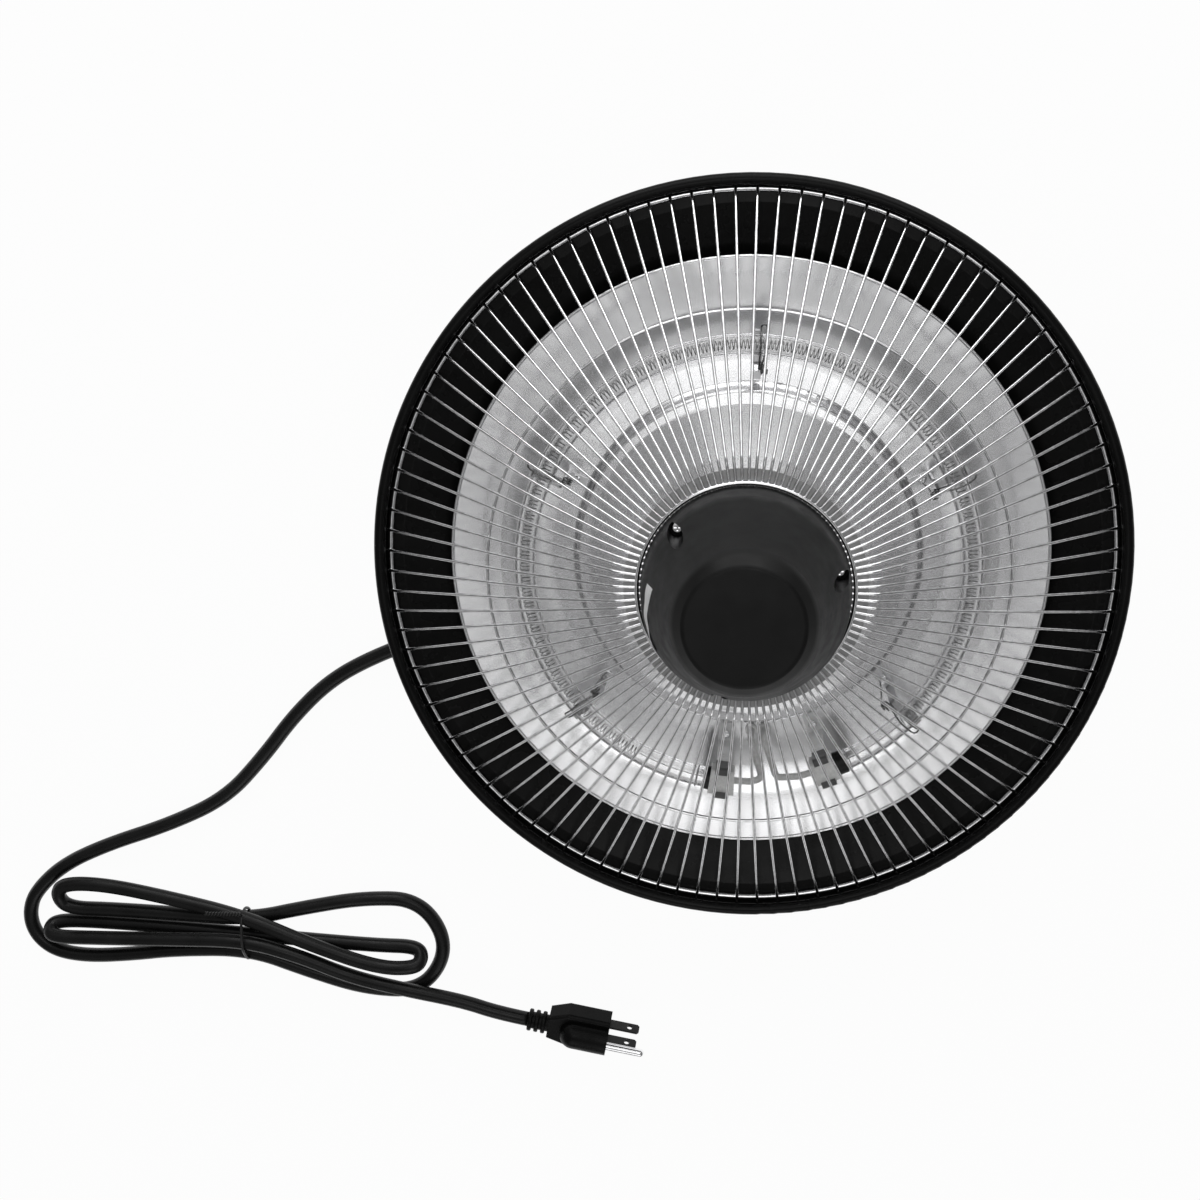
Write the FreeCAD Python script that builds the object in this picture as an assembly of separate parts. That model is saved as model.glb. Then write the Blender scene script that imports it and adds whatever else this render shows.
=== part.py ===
"""Hanging patio heater, lying on its back with its open side up.

Millimetres. The origin is the middle of the flat back of the rear cap, and +Z points out of the
shade's opening. In use the heater is turned over and hangs by its bail.
"""
import math
import os

import FreeCAD, Part

V = FreeCAD.Vector
ORIGIN = V(0, 0, 0)
X_AXIS = V(1, 0, 0)
Y_AXIS = V(0, 1, 0)
Z_AXIS = V(0, 0, 1)

# Clearances and welds
SLIP = 0.05              # pin, screw, rod or bushing in its hole, on the radius
SEAT = 0.02              # between faces that rest on each other
WELD = 0.1               # how far crossing guard wires sink into each other
PAST = 1.0               # how far a cut runs past the faces that it opens
HEAD_ROUND = 0.45        # share of a screw head's height that its edge is rounded over
RECESS_REACH = 0.55      # cross recess: shares of the head's radius and height
RECESS_WIDTH = 0.24
RECESS_DEPTH = 0.5

# Rear cap
CAP_R = 58.0
CAP_HEIGHT = 44.0
CAP_WALL = 1.5
CAP_CORNER = 5.0
CAP_BOSS_R = 4.0
CAP_BOSS_INSET = 8.0     # from the outside of the cap to the middle of a screw boss
CAP_BOSS_ANGLES = (40.0, 150.0, 320.0)
CAP_SCREW_R = 1.7
CAP_SCREW_HEAD_R = 3.5
CAP_SCREW_HEAD = 2.2
CAP_SCREW_LENGTH = 14.0
CAP_SCREW_SPARE = 3.0    # depth of the boss hole past the screw

# Shade
SHADE_T = 1.0
SHADE_FLAT_R = 60.0
SHADE_FLAT_BEND = 8.0
SHADE_CONE_WIDTH = 118.5
SHADE_CONE_RISE = 41.45
LEDGE_WIDTH = 8.7
LEDGE_BEND = 1.2
LIP_FLARE = 2.3
LIP_RISE = 8.05
BEAD_R = 3.0

# Bail and its pivots
BAIL_WIDTH = 18.0
BAIL_T = 2.5
BAIL_LENGTH = 80.0       # pivot to the outside of the web
BAIL_BEND = 9.0
BAIL_SIDE_PLAY = 0.5
BAIL_HOLE_R = 5.0
BAIL_FLOOR_GAP = 0.1
PIVOT_Z = 22.0
PIVOT_R = 3.0
PIVOT_HEAD_R = 5.5
PIVOT_HEAD = 2.5
PIVOT_BOSS_R = 7.0
PIVOT_BOSS_OUT = 1.5     # boss seat past the outside of the cap
PIVOT_BOSS_IN = 2.0      # boss seat past the inside of the cap
PIVOT_NUT_R = 5.8
PIVOT_NUT = 5.0

# Centre column, tie rod and hub plate
COLUMN_R = 24.0
COLUMN_WALL = 1.5
COLUMN_LENGTH = 112.25
ROD_R = 4.0
ROD_NUT_R = 7.5
ROD_NUT = 6.5
ROD_SPARE = 1.5          # rod past each nut
HUB_PLATE_R = 58.0
HUB_PLATE_T = 1.5

# Reflector and its standoffs
REFLECTOR_T = 0.6
REFLECTOR_BORE_R = 26.0
REFLECTOR_BORE_RISE = 27.0  # height of the inner edge over the trough
TROUGH_INSET = 14.5      # middle of the flat trough inside the tube's circle
TROUGH_IN = 8.0          # wall of the trough inside its middle
TROUGH_OUT = 14.0        # outer corner of the trough outside its middle
TROUGH_WALL_BEND = 2.0
TROUGH_BEND = 86.0
RIDGE_INSET = 10.0       # ridge on the trough's wall inside its middle
RIDGE_RISE = 13.6
RIDGE_BEND = 1.6
RIDGE_WIDTH = 6.0
RIDGE_LEAN = 0.3         # inner side of the ridge over its outer side
RIDGE_INNER_BEND = 10.0
CREASE_OUTSET = 16.5     # crease outside the tube's circle
CREASE_RISE = 4.0
CREASE_BEND = 12.0
REFLECTOR_R = 152.5
REFLECTOR_EDGE_RISE = 8.6
HEM_R = 0.9
STANDOFF_R = 3.2
STANDOFF_HEIGHT = 19.8   # from the shade to the reflector under the trough's middle

# Heating tube, filament and end caps
TUBE_CIRCLE_R = 111.5
TUBE_RISE = 33.3
TUBE_R = 5.25
TUBE_WALL = 1.0
FILAMENT_R = 2.9
FILAMENT_WIRE = 0.5
END_CAP_ANGLES = (-96.0, -68.7)
END_CAP_ARC = 6.5
SOCKET_ARC = 2.5
END_CAP_SIDE = 13.0
END_CAP_CORNER = 1.5

# Tube clips, end holders and their screws
CLIP_ANGLES = (24.7, 87.8, 155.8, 221.9, 317.5)
CLIP_WIDTH = 5.0
HOLDER_WIDTH = 7.5
CLIP_T = 1.0
CLIP_BEND = 1.2
CLIP_FOOT = 6.0          # foot inside the middle of the trough
CLIP_POST = 4.5          # post outside the middle of the trough
CLIP_LIP_GAP = 0.75
CLIP_LIP_RISE = 3.2
HOLDER_JAW = 3.2         # jaws that fold over the end cap
CLIP_SCREW_R = 1.25
CLIP_SCREW_HEAD_R = 2.3
CLIP_SCREW_HEAD = 1.6
CLIP_SCREW_LENGTH = 7.0
SPRING_WIRE_R = 0.5
SPRING_GAP = 0.1
SPRING_FOOT_DROP = 14.0  # lower end of the spring under the tube's axis
SPRING_SHOULDER = 8.6    # outer shoulder past the tube's axis
SPRING_HEEL = 10.1       # foot of the outer leg past the tube's axis
SPRING_HEEL_RISE = 1.0
SPRING_TAIL = 15.5       # tip of the tail past the tube's axis
SPRING_BEND = 2.5

# Leads and wiring
LEAD_R = 1.75
LEAD_MEET_ANGLE = -83.5  # where the leads leave the tube's circle
LEAD_MEET_SPREAD = 3.7
LEAD_MEET_DROP = 3.0
LEAD_EXIT = 8.0          # straight exit from an end cap
LEAD_DROP_INSET = 2.8    # drop inside the middle of the trough
LEAD_DROP_RISE = 17.5    # bend over the bushing
LEAD_WELL_R = 41.0
LEAD_WELL_ANGLE = -82.0
LEAD_WELL_SPREAD = 8.0
LEAD_HOLE_ROOM = 0.25
LEAD_OVER_SHADE = 3.0
LEAD_BEND = 3.5
BUSHING_ANGLE = -86.1
BUSHING_PITCH = 6.9
BUSHING_R = 2.5
BUSHING_FLANGE_R = 3.1
BUSHING_FLANGE = 1.8
BUSHING_COLLAR = 1.2
BLOCK_LENGTH = 26.0
BLOCK_WIDTH = 14.0
BLOCK_HEIGHT = 16.0
BLOCK_TERMINAL = 8.5     # wire terminals from the middle of the block
CUTOUT_R = 8.0
CUTOUT_HEIGHT = 9.0
CUTOUT_CIRCLE_R = 28.3
CUTOUT_ANGLE = 45.0
WIRE_R = 1.2
WIRE_BEND = 3.5
WIRE_RISE = 9.0          # straight end of a wire at the block and the cutout

# Guard
SPOKE_COUNT = 108
SPOKE_PHASE = 2.207
SPOKE_R = 0.75
SPOKE_OVERHANG = 1.0
SPOKE_INNER_R = 48.0
SHOULDER_R = 62.0
SHOULDER_BEND = 9.0
KNEE_R = 118.0
KNEE_DROP = 28.0         # knee below the flat inner ends
KNEE_BEND = 250.0
RING_WIRE_R = 1.5
RING_INSET = 2.2         # from the lip's root to the middle of the outer ring
MIDDLE_RING_R = 128.8
MIDDLE_WIRE_R = 0.8
INNER_RING_GAP = 0.6
INNER_WIRE_R = 1.0

# Hub cover, its screws and label
HUB_R = 50.0
HUB_WALL = 2.5
HUB_FLANK_R = 48.3
HUB_FLANK_RISE = 20.75
HUB_FLANK_BEND = 24.0
HUB_SHOULDER_R = 32.8
HUB_SHOULDER_RISE = 66.5
HUB_SHOULDER_BEND = 10.0
HUB_FRONT_R = 27.0
HUB_FRONT_RISE = 72.15
HUB_FRONT_BEND = 2.8
HUB_SCREW_CIRCLE_R = 45.0
HUB_SCREW_ANGLES = (15.0, 135.0, 255.0)
HUB_POCKET_R = 4.0
HUB_POCKET_FLOOR = 6.75
HUB_SCREW_R = 2.0
HUB_SCREW_HEAD_R = 3.1
HUB_SCREW_HEAD = 2.3
HUB_SCREW_LENGTH = 12.0
LABEL_T = 0.3
LABEL_GAP = 0.05
LABEL_LOW = 7.0          # lower edge up the cone from the flank's corner
LABEL_HIGH = 17.0
LABEL_START = 168.5
LABEL_ARC = 36.0

# Cord gland
GLAND_ANGLE = 199.65
GLAND_R = 7.0
GLAND_TIP_R = 5.6
GLAND_FLANGE_R = 9.5
GLAND_FLANGE = 4.0
GLAND_NUT = 5.5
GLAND_REACH = 14.0       # outer end past the outside of the cap
GLAND_TAPER = 8.0

# Cord: route points of the stretches that lie free
CORD_R = 4.35
GLAND_RUN = 21.4         # straight run out of the gland
LEAD_POINTS = [
    (-114.0, -40.4, 18.0), (-146.0, -51.5, 11.4), (-180.0, -63.3, 6.2), (-213.0, -76.0, 4.4),
    (-241.0, -91.0, 4.4), (-264.5, -113.5, 4.4), (-284.5, -139.5, 4.4), (-309.0, -166.0, 4.4),
    (-345.0, -183.5, 4.4), (-384.0, -197.0, 4.4), (-413.0, -211.0, 4.4), (-431.5, -228.5, 4.4),
    (-436.6, -241.0, 4.4), (-435.6, -253.0, 4.4), (-429.0, -262.5, 4.4), (-418.0, -268.3, 4.4),
    (-399.0, -270.2, 4.5), (-372.0, -267.8, 4.8), (-346.0, -263.8, 5.6),
]
TAIL_POINTS = [
    (-266.0, -261.5, 15.6), (-236.0, -274.8, 13.4), (-205.0, -281.5, 13.9), (-168.0, -288.6, 13.1),
]
PLUG_RUN = 18.9          # straight run into the plug
ARC_SHARE = 0.45         # share of the shorter run that a bend takes on each side

# Hank: four loops drawn in at one waist
WAIST_X = -299.0
WAIST_Y = -251.8
STRAND_PITCH = 9.7
WAIST_LOW_Z = 7.0
WAIST_TOP_Z = 16.5
# Each pass through the waist: steps of the strand pitch from its middle, and its layer
WAIST_PASSES = [(-1.0, WAIST_LOW_Z), (1.0, WAIST_LOW_Z), (1.6, WAIST_TOP_Z), (0.0, WAIST_LOW_Z),
                (0.0, WAIST_TOP_Z)]
# Each loop: side, reach from the waist, and y and z of its outgoing and returning legs
HANK_LOOPS = [(1, 118.0, -286.5, 4.4, -227.5, 4.4), (-1, 115.0, -237.2, 8.8, -218.8, 14.8),
              (1, 106.0, -266.8, 16.4, -256.8, 7.0), (-1, 123.0, -247.2, 4.6, -253.8, 14.5)]
# Along a leg: share of the way to the loop's end, and share of the spread reached there
LEG_STEPS = [(0.40, 0.55), (0.80, 1.0)]
END_CORNERS = (60, 0, -60)   # turns at which a loop's end has its corners
TIE_R = 0.85
TIE_GAP = 0.7
TIE_TAIL = 22.0

# Plug
PLUG_PLACE = (-128.8, -299.5, 12.0)
PLUG_TURN = -10.7
PLUG_ROLL = 18.4
RELIEF_LENGTH = 12.4
RELIEF_CORE_R = 5.0
RELIEF_RIB_R = 6.6
RELIEF_RIBS = 3
RELIEF_RIB_SHARE = 0.62
RELIEF_RIB_ROUND = 0.35  # share of a rib's width that its edges are rounded over
BODY_LENGTH = 36.5
BODY_WAIST = 11.0        # shoulder behind the full section
FACE_HALF_WIDTH = 12.5
FACE_LOW = 9.0
FACE_HIGH = 3.6
REAR_HALF_WIDTH = 8.6
REAR_LOW = 7.6
REAR_HIGH = 4.6
BODY_CORNER = 2.2
LOBE_R = 8.4             # round lobe that holds the ground pin
LOBE_HIGH = 4.8
LOBE_START = 16.0
BLADE_SPACING = 12.7
BLADE_LOW = 3.2
BLADE_WIDTH = 6.35
BLADE_T = 1.5
BLADE_LENGTH = 17.5
BLADE_ROOT = 6.0
BLADE_HOLE_R = 1.6
BLADE_HOLE_AT = 11.7
BLADE_TIP = 1.2
GROUND_HIGH = 8.7
GROUND_R = 2.375
GROUND_LENGTH = 22.8

# Levels and places that follow from the sizes above
SHADE_FLOOR_Z = CAP_HEIGHT + SHADE_T
SHADE_SLOPE = SHADE_CONE_RISE / SHADE_CONE_WIDTH
SHADE_CONE_R = SHADE_FLAT_R + SHADE_CONE_WIDTH
SHADE_MID_Z = CAP_HEIGHT + SHADE_T / 2
LEDGE_Z = SHADE_FLOOR_Z + SHADE_CONE_RISE
LIP_ROOT_R = SHADE_CONE_R + LEDGE_WIDTH
TROUGH_R = TUBE_CIRCLE_R - TROUGH_INSET
CREASE_R = TUBE_CIRCLE_R + CREASE_OUTSET
TROUGH_Z = SHADE_FLOOR_Z + (TROUGH_R - SHADE_FLAT_R) * SHADE_SLOPE + STANDOFF_HEIGHT + REFLECTOR_T
LEAD_DROP_R = TROUGH_R - LEAD_DROP_INSET
TUBE_Z = TROUGH_Z + TUBE_RISE
TUBE_START = END_CAP_ANGLES[1] + END_CAP_ARC / 2 - SOCKET_ARC
TUBE_ARC = 360.0 - (END_CAP_ANGLES[1] - END_CAP_ANGLES[0]) - END_CAP_ARC + 2 * SOCKET_ARC
BUSHING_HALF_TURN = math.degrees(BUSHING_PITCH / LEAD_DROP_R) / 2
BUSHING_ANGLES = (BUSHING_ANGLE - BUSHING_HALF_TURN, BUSHING_ANGLE + BUSHING_HALF_TURN)
LEAD_WELL_ANGLES = (LEAD_WELL_ANGLE - LEAD_WELL_SPREAD / 2, LEAD_WELL_ANGLE + LEAD_WELL_SPREAD / 2)
SCREW_ANGLES = CLIP_ANGLES + END_CAP_ANGLES
COLUMN_TOP_Z = SHADE_FLOOR_Z + COLUMN_LENGTH
HUB_PLATE_TOP_Z = COLUMN_TOP_Z + HUB_PLATE_T
SPOKE_FLAT_Z = HUB_PLATE_TOP_Z + SPOKE_R + SEAT
HUB_BASE_Z = SPOKE_FLAT_Z + SPOKE_R + SEAT
RING_R = LIP_ROOT_R - RING_INSET
RING_Z = LEDGE_Z + RING_WIRE_R + SLIP
CAP_BOSS_CIRCLE_R = CAP_R - CAP_BOSS_INSET
CAP_INNER_R = CAP_R - CAP_WALL
BOSS_OUTER_Y = CAP_R + PIVOT_BOSS_OUT
BOSS_INNER_Y = CAP_INNER_R - PIVOT_BOSS_IN
BAIL_INNER_Y = BOSS_OUTER_Y + BAIL_SIDE_PLAY
BAIL_OUTER_Y = BAIL_INNER_Y + BAIL_T
BLOCK_TOP_Z = CAP_WALL + SEAT + BLOCK_HEIGHT


# Shared builders


def polar(radius, angle, z=0.0):
    turn = math.radians(angle)
    return V(radius * math.cos(turn), radius * math.sin(turn), z)


def at_angle(shape, angle):
    copy = shape.copy()
    copy.rotate(ORIGIN, Z_AXIS, angle)
    return copy


def around(shape, angles):
    return Part.makeCompound([at_angle(shape, angle) for angle in angles])


def rounded_edges(points, radii, closed=False):
    """Straight edges through the points, joined at the corners by tangent arcs."""
    count = len(points)
    corners = []
    for i, point in enumerate(points):
        is_end = not closed and i in (0, count - 1)
        if is_end or radii[i] <= 0:
            corners.append((point, None, point))
            continue
        before = (points[i - 1] - point).normalize()
        after = (points[(i + 1) % count] - point).normalize()
        half_turn = (math.pi - before.getAngle(after)) / 2
        reach = radii[i] * math.tan(half_turn)
        inward = (before + after).normalize()
        middle = point + inward * (radii[i] / math.cos(half_turn) - radii[i])
        corners.append((point + before * reach, middle, point + after * reach))
    edges = []
    for i, (start, middle, end) in enumerate(corners):
        if middle is not None:
            edges.append(Part.Arc(start, middle, end).toShape())
        if closed or i < count - 1:
            following = corners[(i + 1) % count][0]
            edges.append(Part.LineSegment(end, following).toShape())
    return edges


def outline_face(points, radii):
    """Face in the XZ plane inside a closed (r, z) outline with rounded corners."""
    corners = [V(r, 0, z) for r, z in points]
    return Part.Face(Part.Wire(rounded_edges(corners, radii, closed=True)))


def shifted(points, distance):
    """An open (r, z) line moved to the left of its direction, with mitred corners."""
    result = []
    for i, (r, z) in enumerate(points):
        normals = []
        for a in (i - 1, i):
            if 0 <= a < len(points) - 1:
                dr = points[a + 1][0] - points[a][0]
                dz = points[a + 1][1] - points[a][1]
                length = math.hypot(dr, dz)
                normals.append((-dz / length, dr / length))
        nr = sum(normal[0] for normal in normals) / len(normals)
        nz = sum(normal[1] for normal in normals) / len(normals)
        scale = distance / (nr * nr + nz * nz)
        result.append((r + nr * scale, z + nz * scale))
    return result


def sheet_face(points, bends, thickness):
    """Section of a bent sheet: its middle line, the bend radius at each corner, its thickness."""
    half = thickness / 2
    left_radii = [0.0]
    right_radii = [0.0]
    for i in range(1, len(points) - 1):
        r0, z0 = points[i - 1]
        r1, z1 = points[i]
        r2, z2 = points[i + 1]
        turns_left = (r1 - r0) * (z2 - z1) - (z1 - z0) * (r2 - r1) > 0
        inner, outer = bends[i - 1] - half, bends[i - 1] + half
        left_radii.append(inner if turns_left else outer)
        right_radii.append(outer if turns_left else inner)
    left_radii.append(0.0)
    right_radii.append(0.0)
    outline = shifted(points, half) + shifted(points, -half)[::-1]
    return outline_face(outline, left_radii + right_radii[::-1])


def turned(face, degrees=360.0):
    solid = face.revolve(ORIGIN, Z_AXIS, degrees)
    return solid if solid.Volume > 0 else solid.reversed()


def strip(face, width):
    """A section in the XZ plane made into a strip, centred across its width."""
    return face.extrude(V(0, width, 0)).translated(V(0, -width / 2, 0))


def tube_along(edges, radius):
    path = Part.Wire(edges)
    start = edges[0].valueAt(edges[0].FirstParameter)
    heading = edges[0].tangentAt(edges[0].FirstParameter)
    section = Part.Wire(Part.makeCircle(radius, start, heading))
    return path.makePipeShell([section], True, False)


def bent_wire(points, bend, radius):
    vectors = [V(*point) for point in points]
    return tube_along(rounded_edges(vectors, [bend] * len(vectors)), radius)


def radial_wire(points, bends, radius):
    """A wire that stays in the XZ plane, from (r, z) points."""
    vectors = [V(r, 0, z) for r, z in points]
    return tube_along(rounded_edges(vectors, bends), radius)


def peg(radius, low, high, place):
    return Part.makeCylinder(radius, high - low, V(place.x, place.y, low), Z_AXIS)


def cross_peg(radius, y0, y1, z):
    """A cylinder along Y on the middle plane of the bail's pivots."""
    return Part.makeCylinder(radius, y1 - y0, V(0, y0, z), Y_AXIS)


def hexagon(radius, height):
    corners = [polar(radius, 60 * k) for k in range(7)]
    return Part.Face(Part.makePolygon(corners)).extrude(V(0, 0, height))


def pan_screw(shank_r, length, head_r, head):
    """A screw that points down, with the underside of its head at z = 0."""
    top = Part.makeCylinder(head_r, head, ORIGIN, Z_AXIS)
    rim = [edge for edge in top.Edges if edge.BoundBox.ZMin > head / 2]
    top = top.makeFillet(head * HEAD_ROUND, rim)
    reach, width, depth = head_r * RECESS_REACH, head_r * RECESS_WIDTH, head * RECESS_DEPTH
    slot = Part.makeBox(2 * reach, width, depth + PAST, V(-reach, -width / 2, head - depth))
    top = top.cut(slot).cut(at_angle(slot, 90.0))
    shank = Part.makeCylinder(shank_r, length, V(0, 0, -length), Z_AXIS)
    return top.fuse(shank).removeSplitter()


def ring_wire(circle_r, wire_r, z):
    return Part.makeTorus(circle_r, wire_r, V(0, 0, z), Z_AXIS)


# Rear cap, shade and what joins them


def cap_boss_places():
    return [polar(CAP_BOSS_CIRCLE_R, angle) for angle in CAP_BOSS_ANGLES]


def gland_direction():
    return polar(1.0, GLAND_ANGLE)


def radial_peg(radius, start, end):
    """A cylinder along the gland's axis, between two distances from the middle."""
    heading = gland_direction()
    base = heading * start + V(0, 0, PIVOT_Z)
    return Part.makeCylinder(radius, end - start, base, heading)


def top_cap():
    middle = CAP_WALL / 2
    line = [(0.0, middle), (CAP_R - middle, middle), (CAP_R - middle, CAP_HEIGHT - SEAT)]
    cap = turned(sheet_face(line, [CAP_CORNER - middle], CAP_WALL))
    for side in (1, -1):
        inner, outer = sorted((side * BOSS_INNER_Y, side * BOSS_OUTER_Y))
        cap = cap.fuse(cross_peg(PIVOT_BOSS_R, inner, outer, PIVOT_Z))
    for place in cap_boss_places():
        cap = cap.fuse(peg(CAP_BOSS_R, CAP_WALL / 2, CAP_HEIGHT - SEAT, place))
    for place in cap_boss_places():
        depth = CAP_SCREW_LENGTH + CAP_SCREW_SPARE
        cap = cap.cut(peg(CAP_SCREW_R + SLIP, SHADE_FLOOR_Z - depth, SHADE_FLOOR_Z, place))
    cap = cap.cut(cross_peg(PIVOT_R + SLIP, -BAIL_OUTER_Y, BAIL_OUTER_Y, PIVOT_Z))
    cap = cap.cut(radial_peg(GLAND_R + SLIP, CAP_R / 2, CAP_R + GLAND_REACH))
    return cap.removeSplitter()


def cap_screws():
    screw = pan_screw(CAP_SCREW_R, CAP_SCREW_LENGTH, CAP_SCREW_HEAD_R, CAP_SCREW_HEAD)
    head_z = SHADE_FLOOR_Z + SEAT
    return Part.makeCompound([screw.translated(place + V(0, 0, head_z)) for place in cap_boss_places()])


def shade_floor_z(radius):
    """Height of the cone's inner face."""
    lean = math.hypot(1.0, SHADE_SLOPE)
    return SHADE_MID_Z + (radius - SHADE_FLAT_R) * SHADE_SLOPE + SHADE_T / 2 * lean


def shade():
    ledge = SHADE_MID_Z + SHADE_CONE_RISE
    bead = (LIP_ROOT_R + LIP_FLARE, ledge + LIP_RISE)
    line = [(ROD_R + SLIP, SHADE_MID_Z), (SHADE_FLAT_R, SHADE_MID_Z), (SHADE_CONE_R, ledge),
            (LIP_ROOT_R, ledge), bead]
    shell = turned(sheet_face(line, [SHADE_FLAT_BEND, LEDGE_BEND, LEDGE_BEND], SHADE_T))
    shell = shell.fuse(ring_wire(bead[0], BEAD_R, bead[1]))
    for place in cap_boss_places():
        shell = shell.cut(peg(CAP_SCREW_R + SLIP, CAP_HEIGHT - PAST, SHADE_FLOOR_Z + PAST, place))
    for angle in LEAD_WELL_ANGLES:
        hole = polar(LEAD_WELL_R, angle)
        shell = shell.cut(peg(LEAD_R + LEAD_HOLE_ROOM, CAP_HEIGHT - PAST, SHADE_FLOOR_Z + PAST, hole))
    return shell.removeSplitter()


# Bail on its two pivots


def bail_rest_angle():
    """Angle below level at which the web's edge reaches the floor."""
    span = math.hypot(BAIL_LENGTH, BAIL_WIDTH / 2)
    corner = math.atan2(BAIL_WIDTH / 2, BAIL_LENGTH)
    return math.degrees(math.asin((PIVOT_Z - BAIL_FLOOR_GAP) / span) - corner)


def bail():
    arm = (BAIL_INNER_Y + BAIL_OUTER_Y) / 2
    web = BAIL_LENGTH - BAIL_T / 2
    line = [(0.0, -arm), (web, -arm), (web, arm), (0.0, arm)]
    section = sheet_face(line, [BAIL_BEND, BAIL_BEND], BAIL_T)
    hoop = strip(section, BAIL_WIDTH)
    hoop.rotate(ORIGIN, X_AXIS, -90)
    for side in (1, -1):
        low, high = sorted((side * BAIL_INNER_Y, side * BAIL_OUTER_Y))
        hoop = hoop.fuse(cross_peg(BAIL_WIDTH / 2, low, high, 0.0))
    hoop = hoop.cut(cross_peg(PIVOT_R + SLIP, -BAIL_OUTER_Y - PAST, BAIL_OUTER_Y + PAST, 0.0))
    hole = Part.makeCylinder(BAIL_HOLE_R, 4 * BAIL_T, V(BAIL_LENGTH - 3 * BAIL_T, 0, 0), X_AXIS)
    hoop = hoop.cut(hole).removeSplitter()
    hoop.rotate(ORIGIN, Y_AXIS, bail_rest_angle())
    return hoop.translated(V(0, 0, PIVOT_Z))


def bail_pivots():
    head_y = BAIL_OUTER_Y + BAIL_SIDE_PLAY
    nut_y = BOSS_INNER_Y - PIVOT_NUT
    pivot = cross_peg(PIVOT_R, nut_y, head_y, PIVOT_Z)
    pivot = pivot.fuse(cross_peg(PIVOT_HEAD_R, head_y, head_y + PIVOT_HEAD, PIVOT_Z)).removeSplitter()
    return around(pivot, (0.0, 180.0))


def bail_nuts():
    nut = hexagon(PIVOT_NUT_R, PIVOT_NUT).cut(Part.makeCylinder(PIVOT_R + SLIP, PIVOT_NUT))
    nut.rotate(ORIGIN, X_AXIS, 90)
    return around(nut.translated(V(0, BOSS_INNER_Y - SEAT, PIVOT_Z)), (0.0, 180.0))


# Column, tie rod and hub plate


def center_column():
    low, high = SHADE_FLOOR_Z + SEAT, COLUMN_TOP_Z - SEAT
    return peg(COLUMN_R, low, high, ORIGIN).cut(peg(COLUMN_R - COLUMN_WALL, low, high, ORIGIN))


def tie_rod():
    low = CAP_HEIGHT - ROD_NUT - ROD_SPARE
    return peg(ROD_R, low, HUB_PLATE_TOP_Z + ROD_NUT + ROD_SPARE, ORIGIN)


def tie_rod_nuts():
    nut = hexagon(ROD_NUT_R, ROD_NUT).cut(Part.makeCylinder(ROD_R + SLIP, ROD_NUT))
    lower = nut.translated(V(0, 0, CAP_HEIGHT - ROD_NUT - SEAT))
    upper = nut.translated(V(0, 0, HUB_PLATE_TOP_Z + SEAT))
    return Part.makeCompound([lower, upper])


def hub_screw_places():
    return [polar(HUB_SCREW_CIRCLE_R, angle) for angle in HUB_SCREW_ANGLES]


def hub_base_plate():
    plate = peg(HUB_PLATE_R, COLUMN_TOP_Z, HUB_PLATE_TOP_Z, ORIGIN)
    plate = plate.cut(peg(ROD_R + SLIP, COLUMN_TOP_Z, HUB_PLATE_TOP_Z, ORIGIN))
    for place in hub_screw_places():
        plate = plate.cut(peg(HUB_SCREW_R + SLIP, COLUMN_TOP_Z, HUB_PLATE_TOP_Z, place))
    return plate


# Reflector and the pieces that carry it


def reflector():
    top = [
        (REFLECTOR_BORE_R, TROUGH_Z + REFLECTOR_BORE_RISE),
        (TROUGH_R - RIDGE_INSET - RIDGE_WIDTH, TROUGH_Z + RIDGE_RISE + RIDGE_LEAN),
        (TROUGH_R - RIDGE_INSET, TROUGH_Z + RIDGE_RISE),
        (TROUGH_R - TROUGH_IN, TROUGH_Z),
        (TROUGH_R + TROUGH_OUT, TROUGH_Z),
        (CREASE_R, TROUGH_Z + CREASE_RISE),
        (REFLECTOR_R, TROUGH_Z + REFLECTOR_EDGE_RISE),
    ]
    middle = shifted(top, -REFLECTOR_T / 2)
    bends = [RIDGE_INNER_BEND, RIDGE_BEND, TROUGH_WALL_BEND, TROUGH_BEND, CREASE_BEND]
    dish = turned(sheet_face(middle, bends, REFLECTOR_T))
    dish = dish.fuse(ring_wire(middle[-1][0], HEM_R, middle[-1][1]))
    low, high = TROUGH_Z - 2 * REFLECTOR_T, TROUGH_Z + REFLECTOR_T
    for angle in SCREW_ANGLES:
        dish = dish.cut(peg(CLIP_SCREW_R + SLIP, low, high, polar(TROUGH_R, angle)))
    for angle in BUSHING_ANGLES:
        dish = dish.cut(peg(BUSHING_R + SLIP, low, high, polar(LEAD_DROP_R, angle)))
    return dish.removeSplitter()


def reflector_standoffs():
    top = TROUGH_Z - REFLECTOR_T - SEAT
    place = V(TROUGH_R, 0, 0)
    post = peg(STANDOFF_R, 0.0, top, place).cut(peg(CLIP_SCREW_R + SLIP, 0.0, top, place))
    under = [(0.0, -PAST), (SHADE_CONE_R, -PAST), (SHADE_CONE_R, shade_floor_z(SHADE_CONE_R) + SEAT),
             (SHADE_FLAT_R, shade_floor_z(SHADE_FLAT_R) + SEAT),
             (0.0, shade_floor_z(SHADE_FLAT_R) + SEAT)]
    return around(post.cut(turned(outline_face(under, [0.0] * len(under)))), CLIP_ANGLES)


# Heating tube, its ends and its clips


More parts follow.
